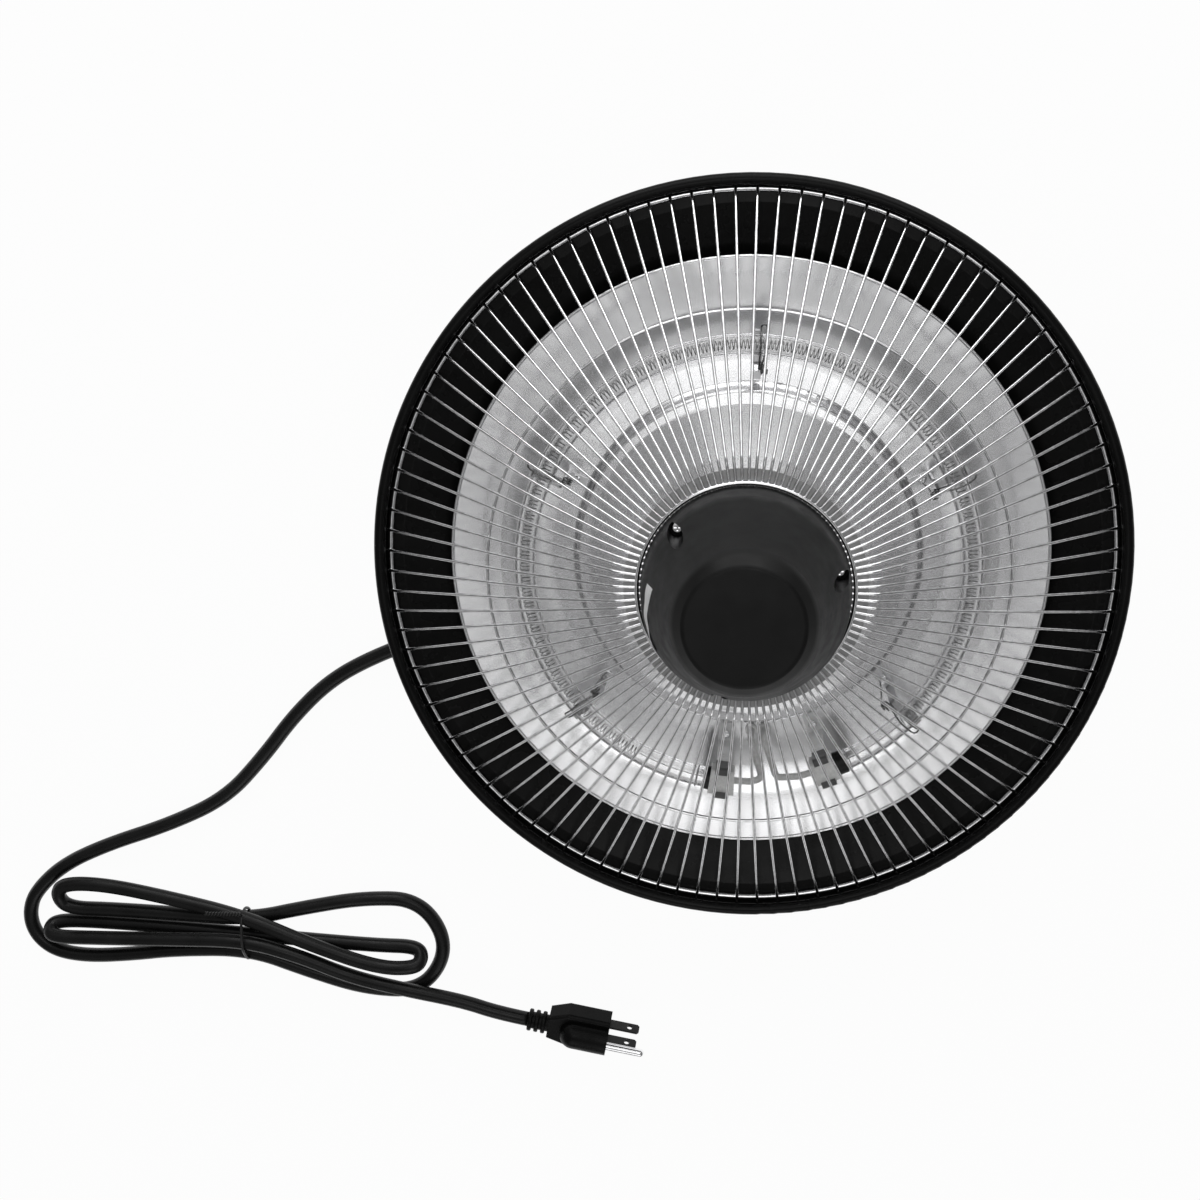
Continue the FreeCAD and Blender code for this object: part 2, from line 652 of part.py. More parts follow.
def swept_ring(outer_r, inner_r, start, arc):
    """A round bar or pipe bent round the tube's circle."""
    bar = Part.Face(Part.Wire(Part.makeCircle(outer_r, V(TUBE_CIRCLE_R, 0, TUBE_Z), Y_AXIS)))
    if inner_r > 0:
        bore = Part.Wire(Part.makeCircle(inner_r, V(TUBE_CIRCLE_R, 0, TUBE_Z), Y_AXIS))
        bar = bar.cut(Part.Face(bore)).Faces[0]
    return at_angle(turned(bar, arc), start)


def heating_tube():
    return swept_ring(TUBE_R, TUBE_R - TUBE_WALL, TUBE_START, TUBE_ARC)


def heating_filament():
    return swept_ring(FILAMENT_R, FILAMENT_R - FILAMENT_WIRE, TUBE_START, TUBE_ARC)


def tube_end_caps():
    half = END_CAP_SIDE / 2
    low, high = TUBE_CIRCLE_R - half, TUBE_CIRCLE_R + half
    outline = [(low, TUBE_Z - half), (high, TUBE_Z - half), (high, TUBE_Z + half), (low, TUBE_Z + half)]
    block = at_angle(turned(outline_face(outline, [END_CAP_CORNER] * 4), END_CAP_ARC), -END_CAP_ARC / 2)
    socket = swept_ring(TUBE_R + SLIP, 0.0, TUBE_START, TUBE_ARC)
    return Part.makeCompound([at_angle(block, angle).cut(socket) for angle in END_CAP_ANGLES])


def clip_strip(width, seat_half, rise, fold):
    """A bracket at angle 0: foot in the trough, post, shelf under its seat and an outer lip.

    The seat is what it carries, seat_half wide on each side of the tube's circle and below it.
    With a fold, a jaw stands on each side of the seat and folds over it.
    """
    half = CLIP_T / 2
    foot_z = TROUGH_Z + SEAT + half
    shelf_z = TUBE_Z - seat_half - SPRING_GAP - half
    post_r = TROUGH_R + CLIP_POST
    lip_r = TUBE_CIRCLE_R + seat_half + CLIP_LIP_GAP + half
    line = [(TROUGH_R - CLIP_FOOT, foot_z), (post_r, foot_z), (post_r, shelf_z), (lip_r, shelf_z),
            (lip_r, shelf_z + rise)]
    if fold > 0:
        line.append((lip_r - fold, shelf_z + rise))
    body = strip(sheet_face(line, [CLIP_BEND] * (len(line) - 2), CLIP_T), width)
    if fold > 0:
        inner_r = 2 * TUBE_CIRCLE_R - lip_r
        jaw = [(inner_r, shelf_z), (inner_r, shelf_z + rise), (inner_r + fold, shelf_z + rise)]
        body = body.fuse(strip(sheet_face(jaw, [CLIP_BEND], CLIP_T), width)).removeSplitter()
    return body.cut(peg(CLIP_SCREW_R + SLIP, TROUGH_Z, TROUGH_Z + 2 * CLIP_T, V(TROUGH_R, 0, 0)))


def tube_clip_brackets():
    return around(clip_strip(CLIP_WIDTH, TUBE_R, CLIP_LIP_RISE, 0.0), CLIP_ANGLES)


def tube_end_holders():
    over_cap = END_CAP_SIDE + CLIP_T + 2 * SPRING_GAP
    return around(clip_strip(HOLDER_WIDTH, END_CAP_SIDE / 2, over_cap, HOLDER_JAW), END_CAP_ANGLES)


def tube_clip_springs():
    """Wire that climbs the post, crosses over the tube and ends in a tail past the lip."""
    post_r = TROUGH_R + CLIP_POST - CLIP_T / 2 - SPRING_WIRE_R - SPRING_GAP
    over = TUBE_Z + TUBE_R + SPRING_WIRE_R + SPRING_GAP
    line = [
        (post_r, TUBE_Z - SPRING_FOOT_DROP),
        (post_r, over),
        (TUBE_CIRCLE_R + SPRING_SHOULDER, over),
        (TUBE_CIRCLE_R + SPRING_HEEL, TUBE_Z + SPRING_HEEL_RISE),
        (TUBE_CIRCLE_R + SPRING_TAIL, TUBE_Z),
    ]
    return around(radial_wire(line, [SPRING_BEND] * len(line), SPRING_WIRE_R), CLIP_ANGLES)


def clip_screws():
    screw = pan_screw(CLIP_SCREW_R, CLIP_SCREW_LENGTH, CLIP_SCREW_HEAD_R, CLIP_SCREW_HEAD)
    head_z = TROUGH_Z + CLIP_T + 2 * SEAT
    return around(screw.translated(V(TROUGH_R, 0, head_z)), SCREW_ANGLES)


# Leads and wiring


def lead_routes():
    """Each lead from its end cap to the bushing, then under the reflector and down to the block."""
    over_shade = shade_floor_z(LEAD_DROP_R) + LEAD_OVER_SHADE
    routes = []
    for k, side in enumerate((-1, 1)):
        cap_end = END_CAP_ANGLES[k] - side * END_CAP_ARC / 2
        start = polar(TUBE_CIRCLE_R, cap_end, TUBE_Z)
        heading = polar(1.0, cap_end - side * 90.0)
        meet = LEAD_MEET_ANGLE + side * LEAD_MEET_SPREAD / 2
        routes.append([
            start + heading * SEAT,
            start + heading * LEAD_EXIT,
            polar(TUBE_CIRCLE_R, meet, TUBE_Z - LEAD_MEET_DROP),
            polar(LEAD_DROP_R, BUSHING_ANGLES[k], TROUGH_Z + LEAD_DROP_RISE),
            polar(LEAD_DROP_R, BUSHING_ANGLES[k], over_shade),
            polar(LEAD_WELL_R, LEAD_WELL_ANGLES[k], SHADE_FLOOR_Z + 2 * LEAD_BEND),
            polar(LEAD_WELL_R, LEAD_WELL_ANGLES[k], BLOCK_TOP_Z),
        ])
    return routes


def lead_sleeves():
    return Part.makeCompound([bent_wire(route, LEAD_BEND, LEAD_R) for route in lead_routes()])


def lead_bushings():
    place = V(LEAD_DROP_R, 0, 0)
    flange_z = TROUGH_Z + SEAT
    body = peg(BUSHING_FLANGE_R, flange_z, flange_z + BUSHING_FLANGE, place)
    body = body.fuse(peg(BUSHING_R, TROUGH_Z - REFLECTOR_T - BUSHING_COLLAR, flange_z, place))
    bore = peg(LEAD_R + SLIP, SHADE_FLOOR_Z, TUBE_Z, place)
    return around(body.cut(bore).removeSplitter(), BUSHING_ANGLES)


def terminal_block():
    low = V(LEAD_WELL_R - BLOCK_WIDTH / 2, -BLOCK_LENGTH / 2, CAP_WALL + SEAT)
    return at_angle(Part.makeBox(BLOCK_WIDTH, BLOCK_LENGTH, BLOCK_HEIGHT, low), LEAD_WELL_ANGLE)


def block_terminal(offset, z):
    return at_angle(Part.Vertex(LEAD_WELL_R, offset, z), LEAD_WELL_ANGLE).Point


def thermal_cutout():
    top = CAP_HEIGHT - SEAT
    return peg(CUTOUT_R, top - CUTOUT_HEIGHT, top, polar(CUTOUT_CIRCLE_R, CUTOUT_ANGLE))


def inner_wires():
    """Gland to block, gland to cutout, and cutout to block."""
    heading = gland_direction()
    inner_end = CAP_INNER_R - GLAND_NUT
    cutout_z = CAP_HEIGHT - SEAT - CUTOUT_HEIGHT
    left_end = heading * inner_end + V(0, 0, PIVOT_Z + 2 * WIRE_R)
    right_end = heading * inner_end + V(0, 0, PIVOT_Z - 2 * WIRE_R)
    low_cutout = polar(CUTOUT_CIRCLE_R, CUTOUT_ANGLE - CUTOUT_R, cutout_z)
    high_cutout = polar(CUTOUT_CIRCLE_R, CUTOUT_ANGLE + CUTOUT_R, cutout_z)
    rise = V(0, 0, WIRE_RISE)
    routes = [
        [left_end, left_end - heading * 2 * WIRE_RISE, block_terminal(-BLOCK_TERMINAL, BLOCK_TOP_Z) + rise,
         block_terminal(-BLOCK_TERMINAL, BLOCK_TOP_Z)],
        [right_end, right_end - heading * WIRE_RISE, high_cutout - rise, high_cutout],
        [low_cutout, low_cutout - rise, block_terminal(BLOCK_TERMINAL, BLOCK_TOP_Z) + rise,
         block_terminal(BLOCK_TERMINAL, BLOCK_TOP_Z)],
    ]
    return Part.makeCompound([bent_wire(route, WIRE_BEND, WIRE_R) for route in routes])


# Wire guard


def spoke_line():
    """Middle line of a spoke, from its tip past the outer ring to its flat inner end."""
    knee = V(KNEE_R, 0, SPOKE_FLAT_Z - KNEE_DROP)
    ring = V(RING_R, 0, RING_Z)
    reach = RING_WIRE_R + SPOKE_R - WELD
    toward = knee - ring
    along = V(toward.x, 0, toward.z).normalize()
    outward = V(along.z, 0, -along.x)
    share = reach / toward.Length
    touch = ring + along * (reach * share) + outward * (reach * math.sqrt(1 - share * share))
    tip = touch - (knee - touch).normalize() * SPOKE_OVERHANG
    return [tip, knee, V(SHOULDER_R, 0, SPOKE_FLAT_Z), V(SPOKE_INNER_R, 0, SPOKE_FLAT_Z)]


def guard_spokes():
    edges = rounded_edges(spoke_line(), [0.0, KNEE_BEND, SHOULDER_BEND, 0.0])
    step = 360.0 / SPOKE_COUNT
    return around(tube_along(edges, SPOKE_R), [SPOKE_PHASE + k * step for k in range(SPOKE_COUNT)])


def guard_outer_ring():
    return ring_wire(RING_R, RING_WIRE_R, RING_Z)


def guard_middle_ring():
    """Ring that the spokes cross on their outer, straight stretch."""
    tip, knee = spoke_line()[:2]
    slope = (knee.z - tip.z) / (tip.x - knee.x)
    spoke_z = knee.z - (MIDDLE_RING_R - KNEE_R) * slope
    below = (MIDDLE_WIRE_R + SPOKE_R - WELD) * math.hypot(1.0, slope)
    return ring_wire(MIDDLE_RING_R, MIDDLE_WIRE_R, spoke_z - below)


def guard_inner_ring():
    circle = HUB_R + INNER_RING_GAP + INNER_WIRE_R
    return ring_wire(circle, INNER_WIRE_R, SPOKE_FLAT_Z + SPOKE_R + INNER_WIRE_R - WELD)


# Hub cover


def hub_outer_line():
    return [
        (HUB_R, HUB_BASE_Z),
        (HUB_FLANK_R, HUB_BASE_Z + HUB_FLANK_RISE),
        (HUB_SHOULDER_R, HUB_BASE_Z + HUB_SHOULDER_RISE),
        (HUB_FRONT_R, HUB_BASE_Z + HUB_FRONT_RISE),
        (0.0, HUB_BASE_Z + HUB_FRONT_RISE),
    ]


def hub_cover():
    line = hub_outer_line()
    half = HUB_WALL / 2
    bends = [HUB_FLANK_BEND - half, HUB_SHOULDER_BEND - half, HUB_FRONT_BEND - half]
    shell = turned(sheet_face(shifted(line, half), bends, HUB_WALL))
    shell = shell.cut(peg(HUB_PLATE_R, HUB_PLATE_TOP_Z, HUB_BASE_Z, ORIGIN))
    full_radii = [0.0, HUB_FLANK_BEND, HUB_SHOULDER_BEND, HUB_FRONT_BEND, 0.0, 0.0]
    full = turned(outline_face(line + [(0.0, HUB_BASE_Z)], full_radii))
    top = HUB_BASE_Z + HUB_FRONT_RISE
    floor = HUB_BASE_Z + HUB_POCKET_FLOOR
    for place in hub_screw_places():
        boss = peg(HUB_POCKET_R + HUB_WALL, HUB_BASE_Z, top, place).common(full)
        shell = shell.fuse(boss)
    for place in hub_screw_places():
        shell = shell.cut(peg(HUB_POCKET_R, floor, top, place))
        shell = shell.cut(peg(HUB_SCREW_R + SLIP, HUB_BASE_Z, top, place))
    return shell.removeSplitter()


def hub_screws():
    screw = pan_screw(HUB_SCREW_R, HUB_SCREW_LENGTH, HUB_SCREW_HEAD_R, HUB_SCREW_HEAD)
    head_z = HUB_BASE_Z + HUB_POCKET_FLOOR + SEAT
    return Part.makeCompound([screw.translated(place + V(0, 0, head_z)) for place in hub_screw_places()])


def hub_label():
    """Blank label wrapped round the cone of the cover."""
    (corner_r, corner_z), (end_r, end_z) = hub_outer_line()[1:3]
    length = math.hypot(end_r - corner_r, end_z - corner_z)
    way_r, way_z = (end_r - corner_r) / length, (end_z - corner_z) / length
    ends = [(corner_r + rise * way_r, corner_z + rise * way_z) for rise in (LABEL_LOW, LABEL_HIGH)]
    middle = shifted(ends, -LABEL_GAP - LABEL_T / 2)
    return at_angle(turned(sheet_face(middle, [], LABEL_T), LABEL_ARC), LABEL_START)


# Cord, hank and plug


def cord_gland():
    tip = CAP_R + GLAND_REACH
    taper = tip - GLAND_TAPER
    body = radial_peg(GLAND_R, CAP_INNER_R - GLAND_NUT, taper)
    heading = gland_direction()
    cone = Part.makeCone(GLAND_R, GLAND_TIP_R, GLAND_TAPER, heading * taper + V(0, 0, PIVOT_Z), heading)
    wall_out = peg(CAP_R + SEAT, -PIVOT_Z, CAP_HEIGHT, ORIGIN)
    wall_in = peg(CAP_INNER_R - SEAT, -PIVOT_Z, CAP_HEIGHT, ORIGIN)
    flange = radial_peg(GLAND_FLANGE_R, CAP_INNER_R - GLAND_NUT, CAP_R + GLAND_FLANGE).cut(wall_out)
    nut = radial_peg(GLAND_FLANGE_R, CAP_INNER_R - GLAND_NUT, CAP_R).common(wall_in)
    return body.fuse([cone, flange, nut]).removeSplitter()


def cord_edges(points):
    """Cord path whose bends are as large as the runs beside them allow."""
    vectors = [V(*point) for point in points]
    radii = [0.0]
    for before, here, after in zip(vectors, vectors[1:], vectors[2:]):
        run_in, run_out = here - before, after - here
        shorter = min(run_in.Length, run_out.Length)
        radii.append(ARC_SHARE * shorter / math.tan(run_in.getAngle(run_out) / 2))
    radii.append(0.0)
    return rounded_edges(vectors, radii), radii[1:-1]


def hank_points():
    """The hank's loops in order, each out along one leg, round its end and back along the other."""
    points = []
    for k, (side, reach, out_y, out_z, back_y, back_z) in enumerate(HANK_LOOPS):
        step, from_z = WAIST_PASSES[k]
        next_step, to_z = WAIST_PASSES[k + 1]
        from_y, to_y = WAIST_Y + step * STRAND_PITCH, WAIST_Y + next_step * STRAND_PITCH
        half_y, half_z = (out_y - back_y) / 2, (out_z - back_z) / 2
        end_r = math.hypot(half_y, half_z)
        length = reach - end_r
        points.append((WAIST_X, from_y, from_z))
        for way, spread in LEG_STEPS:
            y, z = from_y + (out_y - from_y) * spread, from_z + (out_z - from_z) * spread
            points.append((WAIST_X + side * way * length, y, z))
        corner = end_r / math.cos(math.radians(END_CORNERS[0] / 2))
        for turn in END_CORNERS:
            x = WAIST_X + side * (length + corner * math.cos(math.radians(turn)))
            share = math.copysign(1, turn) if turn else 0
            points.append((x, (out_y + back_y) / 2 + half_y * share, (out_z + back_z) / 2 + half_z * share))
        for way, spread in LEG_STEPS[::-1]:
            y, z = to_y + (back_y - to_y) * spread, to_z + (back_z - to_z) * spread
            points.append((WAIST_X + side * way * length, y, z))
    step, last_z = WAIST_PASSES[-1]
    points.append((WAIST_X, WAIST_Y + step * STRAND_PITCH, last_z))
    return points


def middle_of(a, b):
    return tuple((p + q) / 2 for p, q in zip(a, b))


def plug_heading():
    return polar(1.0, PLUG_TURN)


def cord_routes():
    """The three stretches, cut in the straight middle of the runs between them."""
    gland_tip = gland_direction() * (CAP_R + GLAND_REACH + SEAT) + V(0, 0, PIVOT_Z)
    gland_exit = gland_tip + gland_direction() * GLAND_RUN
    plug_end = V(*PLUG_PLACE) - plug_heading() * SEAT
    plug_entry = plug_end - plug_heading() * PLUG_RUN
    lead_end = middle_of(LEAD_POINTS[-2], LEAD_POINTS[-1])
    tail_start = middle_of(TAIL_POINTS[1], TAIL_POINTS[2])
    lead = [tuple(gland_tip), tuple(gland_exit)] + LEAD_POINTS[:-1] + [lead_end]
    hank = [lead_end, LEAD_POINTS[-1]] + hank_points() + TAIL_POINTS[:2] + [tail_start]
    tail = [tail_start] + TAIL_POINTS[2:] + [tuple(plug_entry), tuple(plug_end)]
    return lead, hank, tail


def waist_crossings(edges):
    """Where the strands of the hank cross the plane of the tie, in the order of the cord."""
    points = path_points(edges, CORD_R / 4)
    crossings = []
    for a, b in zip(points, points[1:]):
        if (a.x - WAIST_X) * (b.x - WAIST_X) < 0:
            share = (WAIST_X - a.x) / (b.x - a.x)
            crossings.append(a + (b - a) * share)
    return crossings


def tie_ring_edges(strands):
    """Loop of tie wire round the outer strands, given in turn, as straight runs and arcs."""
    offset = CORD_R + TIE_GAP + TIE_R
    count = len(strands)
    normals = []
    for k, strand in enumerate(strands):
        run = strands[(k + 1) % count] - strand
        normals.append(V(0, run.z, -run.y).normalize())
    edges = []
    for k, strand in enumerate(strands):
        before, after = normals[k - 1], normals[k]
        bow = (before + after).normalize()
        run_start = strand + after * offset
        run_end = strands[(k + 1) % count] + after * offset
        edges.append(Part.Arc(strand + before * offset, strand + bow * offset, run_start).toShape())
        edges.append(Part.LineSegment(run_start, run_end).toShape())
    return edges


def hank_tie():
    """A loop of wire drawn round the waist, with its twisted end laid along the upper strand."""
    edges, _ = cord_edges(cord_routes()[1])
    crossings = waist_crossings(edges)
    outer = [crossings[0], crossings[1], crossings[2], crossings[4]]
    ring = tube_along(tie_ring_edges(outer), TIE_R)
    points_per_loop = len(hank_points()) // len(HANK_LOOPS)
    heading = (V(*hank_points()[2 * points_per_loop - 1]) - outer[2]).normalize()
    start = outer[2] + V(0, 1, 1).normalize() * (CORD_R + TIE_GAP + TIE_R)
    tail = Part.makeCylinder(TIE_R, TIE_TAIL, start, heading)
    return ring.fuse(tail).removeSplitter()


def placed_on_plug(shape):
    """From the plug's own frame, +X out of its face and +Z to its ground pin, to where it lies."""
    shape = shape.copy()
    shape.rotate(ORIGIN, X_AXIS, PLUG_ROLL)
    shape.rotate(ORIGIN, Z_AXIS, PLUG_TURN)
    return shape.translated(V(*PLUG_PLACE))


def plug_strain_relief():
    pitch = RELIEF_LENGTH / RELIEF_RIBS
    relief = Part.makeCylinder(RELIEF_CORE_R, RELIEF_LENGTH, ORIGIN, X_AXIS)
    for k in range(RELIEF_RIBS):
        width = pitch * RELIEF_RIB_SHARE
        rib = Part.makeCylinder(RELIEF_RIB_R, width, V(k * pitch, 0, 0), X_AXIS)
        relief = relief.fuse(rib.makeFillet(width * RELIEF_RIB_ROUND, rib.Edges[0:1] + rib.Edges[2:3]))
    return placed_on_plug(relief.removeSplitter())


def plug_section(x, half_width, low, high):
    """Rounded rectangle across the plug."""
    corners = [(-half_width, -low), (half_width, -low), (half_width, high), (-half_width, high)]
    vectors = [V(x, y, z) for y, z in corners]
    return Part.Wire(rounded_edges(vectors, [BODY_CORNER] * len(vectors), closed=True))


def plug_body():
    """A flat base that narrows to the strain relief, with a round lobe over the ground pin."""
    full = (FACE_HALF_WIDTH, FACE_LOW, FACE_HIGH)
    sections = [
        plug_section(RELIEF_LENGTH + SEAT, REAR_HALF_WIDTH, REAR_LOW, REAR_HIGH),
        plug_section(RELIEF_LENGTH + BODY_WAIST, *full),
        plug_section(RELIEF_LENGTH + BODY_LENGTH, *full),
    ]
    body = Part.makeLoft(sections, True, True)
    face = RELIEF_LENGTH + BODY_LENGTH
    start = V(RELIEF_LENGTH + LOBE_START, 0, LOBE_HIGH)
    lobe = Part.makeCylinder(LOBE_R, face - start.x, start, X_AXIS).fuse(Part.makeSphere(LOBE_R, start))
    body = body.fuse(lobe).removeSplitter()
    for side in (1, -1):
        body = body.cut(blade_bar(side, face - BLADE_ROOT - SEAT, face, SLIP))
    body = body.cut(ground_bar(face - BLADE_ROOT - SEAT, face, SLIP))
    return placed_on_plug(body)


def blade_bar(side, start, end, room):
    low = V(start, side * BLADE_SPACING / 2 - BLADE_T / 2 - room, -BLADE_LOW - BLADE_WIDTH / 2 - room)
    return Part.makeBox(end - start, BLADE_T + 2 * room, BLADE_WIDTH + 2 * room, low)


def ground_bar(start, end, room):
    return Part.makeCylinder(GROUND_R + room, end - start, V(start, 0, GROUND_HIGH), X_AXIS)


def plug_blades():
    face = RELIEF_LENGTH + BODY_LENGTH
    blades = []
    for side in (1, -1):
        blade = blade_bar(side, face - BLADE_ROOT, face + BLADE_LENGTH, 0.0)
        tips = [e for e in blade.Edges if e.BoundBox.XMin > face and e.BoundBox.ZLength < BLADE_WIDTH / 2]
        blade = blade.makeChamfer(BLADE_TIP, [e for e in tips if e.BoundBox.YLength > BLADE_T / 2])
        hole = V(face + BLADE_HOLE_AT, -BLADE_SPACING, -BLADE_LOW)
        blade = blade.cut(Part.makeCylinder(BLADE_HOLE_R, 2 * BLADE_SPACING, hole, Y_AXIS))
        blades.append(placed_on_plug(blade))
    return Part.makeCompound(blades)


def plug_ground_pin():
    face = RELIEF_LENGTH + BODY_LENGTH
    pin = ground_bar(face - BLADE_ROOT, face + GROUND_LENGTH - GROUND_R, 0.0)
    tip = Part.makeSphere(GROUND_R, V(face + GROUND_LENGTH - GROUND_R, 0, GROUND_HIGH))
    return placed_on_plug(pin.fuse(tip).removeSplitter())


# Measures printed with the build


def path_points(edges, spacing):
    points = []
    for edge in edges:
        count = max(2, int(edge.Length / spacing) + 1)
        points.extend(edge.discretize(count)[:-1])
    return points


def least_self_gap(edges):
    """Least gap between stretches of the cord that lie more than three diameters apart along it."""
    points = path_points(edges, CORD_R / 2)
    way = [0.0]
    for a, b in zip(points, points[1:]):
        way.append(way[-1] + a.distanceToPoint(b))
    apart = 6 * CORD_R
    nearest = min(points[i].distanceToPoint(points[j])
                  for i in range(len(points)) for j in range(i) if way[i] - way[j] > apart)
    return nearest - 2 * CORD_R


def cord_stretches():
    shapes = []
    for name, route in zip(("lead", "hank", "tail"), cord_routes()):
        edges, radii = cord_edges(route)
        length = sum(edge.Length for edge in edges)
        tube = tube_along(edges, CORD_R)
        share = tube.Volume / (math.pi * CORD_R ** 2 * length)
        print(f"cord {name}: length {length:.1f}, volume over section times length {share:.4f}")
        print(f"cord {name}: bend radii", " ".join(f"{radius:.1f}" for radius in radii))
        if name == "hank":
            print(f"cord hank: least gap to itself {least_self_gap(edges):.2f}")
        shapes.append(tube)
    return shapes


def main():
    lead, hank, tail = cord_stretches()
    nodes = {
        "top_cap": top_cap(),
        "cap_screws": cap_screws(),
        "shade": shade(),
        "bail": bail(),
        "bail_pivots": bail_pivots(),
        "bail_nuts": bail_nuts(),
        "center_column": center_column(),
        "tie_rod": tie_rod(),
        "tie_rod_nuts": tie_rod_nuts(),
        "hub_base_plate": hub_base_plate(),
        "reflector": reflector(),
        "reflector_standoffs": reflector_standoffs(),
        "heating_tube": heating_tube(),
        "heating_filament": heating_filament(),
        "tube_end_caps": tube_end_caps(),
        "tube_end_holders": tube_end_holders(),
        "tube_clip_brackets": tube_clip_brackets(),
        "tube_clip_springs": tube_clip_springs(),
        "clip_screws": clip_screws(),
        "lead_sleeves": lead_sleeves(),
        "lead_bushings": lead_bushings(),
        "terminal_block": terminal_block(),
        "thermal_cutout": thermal_cutout(),
        "inner_wires": inner_wires(),
        "guard_spokes": guard_spokes(),
        "guard_outer_ring": guard_outer_ring(),
        "guard_middle_ring": guard_middle_ring(),
        "guard_inner_ring": guard_inner_ring(),
        "hub_cover": hub_cover(),
        "hub_screws": hub_screws(),
        "hub_label": hub_label(),
        "cord_gland": cord_gland(),
        "cord_lead": lead,
        "cord_hank": hank,
        "cord_tail": tail,
        "hank_tie": hank_tie(),
        "plug_strain_relief": plug_strain_relief(),
        "plug_body": plug_body(),
        "plug_blades": plug_blades(),
        "plug_ground_pin": plug_ground_pin(),
    }
    os.makedirs("parts", exist_ok=True)
    for name, shape in nodes.items():
        shape.exportStep(f"parts/{name}.step")
        sound = shape.isValid() and all(solid.Volume > 0 for solid in shape.Solids)
        state = "sound" if sound else "faulty"
        print(f"{name}: {len(shape.Solids)} solids, volume {shape.Volume:.1f}, {state}")
    print(f"bail rests {bail_rest_angle():.3f} degrees below level")


main()
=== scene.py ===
"""Dress the hanging patio heater: its cord, springs, filament, fittings, finishes and stage."""
import math

import bmesh
import bpy
from bpy.props import FloatProperty, FloatVectorProperty, IntProperty, PointerProperty
from mathutils import Matrix, Vector


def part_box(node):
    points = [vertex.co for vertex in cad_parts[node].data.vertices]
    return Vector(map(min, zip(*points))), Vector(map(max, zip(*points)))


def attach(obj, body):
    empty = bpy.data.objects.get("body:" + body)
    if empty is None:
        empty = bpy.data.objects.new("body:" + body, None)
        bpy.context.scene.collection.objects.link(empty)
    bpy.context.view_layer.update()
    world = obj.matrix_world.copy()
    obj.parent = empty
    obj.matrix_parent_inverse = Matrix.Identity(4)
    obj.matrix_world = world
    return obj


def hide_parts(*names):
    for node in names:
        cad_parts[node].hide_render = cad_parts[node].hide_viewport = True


bl_info = {
    "name": "Hanging patio heater",
    "version": (1, 0, 0),
    "blender": (4, 5, 0),
    "location": "View3D > Sidebar > Heater",
    "description": "Dresses the heater's frame with its cord, springs, filament and finishes",
    "category": "Object",
}

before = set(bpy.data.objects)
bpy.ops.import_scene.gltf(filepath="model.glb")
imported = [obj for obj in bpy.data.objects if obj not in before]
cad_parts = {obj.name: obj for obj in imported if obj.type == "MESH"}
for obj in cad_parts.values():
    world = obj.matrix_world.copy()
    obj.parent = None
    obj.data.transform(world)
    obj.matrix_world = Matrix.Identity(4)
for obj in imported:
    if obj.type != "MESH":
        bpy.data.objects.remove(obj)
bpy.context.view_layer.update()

MM = 0.001
BODY = "heater"

# Camera of the photograph, in the heater's frame
CAMERA_PLACE = Vector((5.227, 184.193, 961.403)) * MM
CAMERA_RIGHT = Vector((0.99590, -0.01046, -0.08988))
CAMERA_UP = Vector((-0.01046, 0.97332, -0.22923))
PHOTO_SIDE = 1200
PHOTO_FOCAL = 1735.94
SENSOR_WIDTH = 36.0
CLIP_START = 10 * MM

# Level and circle of the tube from the frame, and the angles of its clips and end caps in degrees
TUBE_LOW, TUBE_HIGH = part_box("heating_tube")
TUBE_Z = (TUBE_LOW.z + TUBE_HIGH.z) / 2
TUBE_R = (TUBE_HIGH.z - TUBE_LOW.z) / 2
TUBE_CIRCLE_R = (TUBE_HIGH.x - TUBE_LOW.x) / 2 - TUBE_R
CLIP_ANGLES = (24.7, 87.8, 155.8, 221.9, 317.5)
END_CAP_ANGLES = (-96.0, -68.7)
END_CAP_ARC = 6.5

# Cone of the hub cover under the label, over the cover's base
HUB_BASE_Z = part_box("hub_cover")[0].z
FLANK_CORNER = Vector((48.3, 20.75)) * MM
SHOULDER_CORNER = Vector((32.8, 66.5)) * MM
LABEL_START = 168.0
LABEL_ARC = 42.0

# Outline of the label in millimetres: value at its first end, and how much that changes to its last
LABEL_CELLS = (36, 5)
LABEL_T = 0.2 * MM
LABEL_LOW = (8.5, -6.0)
LABEL_HEIGHT = (9.0, -7.2)
LABEL_LIFT = (0.15, 0.9)
# Size and rate of the waves in those three
LABEL_WAVES = ((0.3, 9), (0.4, 14), (0.15, 17))

# Cord route in millimetres, as the frame's tube follows it
GLAND_ANGLE = 199.65
GLAND_TIP_R = 72.02
GLAND_Z = 22.0
GLAND_RUN = 21.4
LEAD_POINTS = [
    (-114.0, -40.4, 18.0), (-146.0, -51.5, 11.4), (-180.0, -63.3, 6.2), (-213.0, -76.0, 4.4),
    (-241.0, -91.0, 4.4), (-264.5, -113.5, 4.4), (-284.5, -139.5, 4.4), (-309.0, -166.0, 4.4),
    (-345.0, -183.5, 4.4), (-384.0, -197.0, 4.4), (-413.0, -211.0, 4.4), (-431.5, -228.5, 4.4),
    (-436.6, -241.0, 4.4), (-435.6, -253.0, 4.4), (-429.0, -262.5, 4.4), (-418.0, -268.3, 4.4),
    (-399.0, -270.2, 4.5), (-372.0, -267.8, 4.8), (-346.0, -263.8, 5.6),
]
TAIL_POINTS = [
    (-266.0, -261.5, 15.6), (-236.0, -274.8, 13.4), (-205.0, -281.5, 13.9), (-168.0, -288.6, 13.1),
]
PLUG_PLACE = (-128.8, -299.5, 12.0)
PLUG_TURN = -10.7
PLUG_RUN = 18.9
WAIST_X = -299.0
WAIST_Y = -251.8
STRAND_PITCH = 9.7
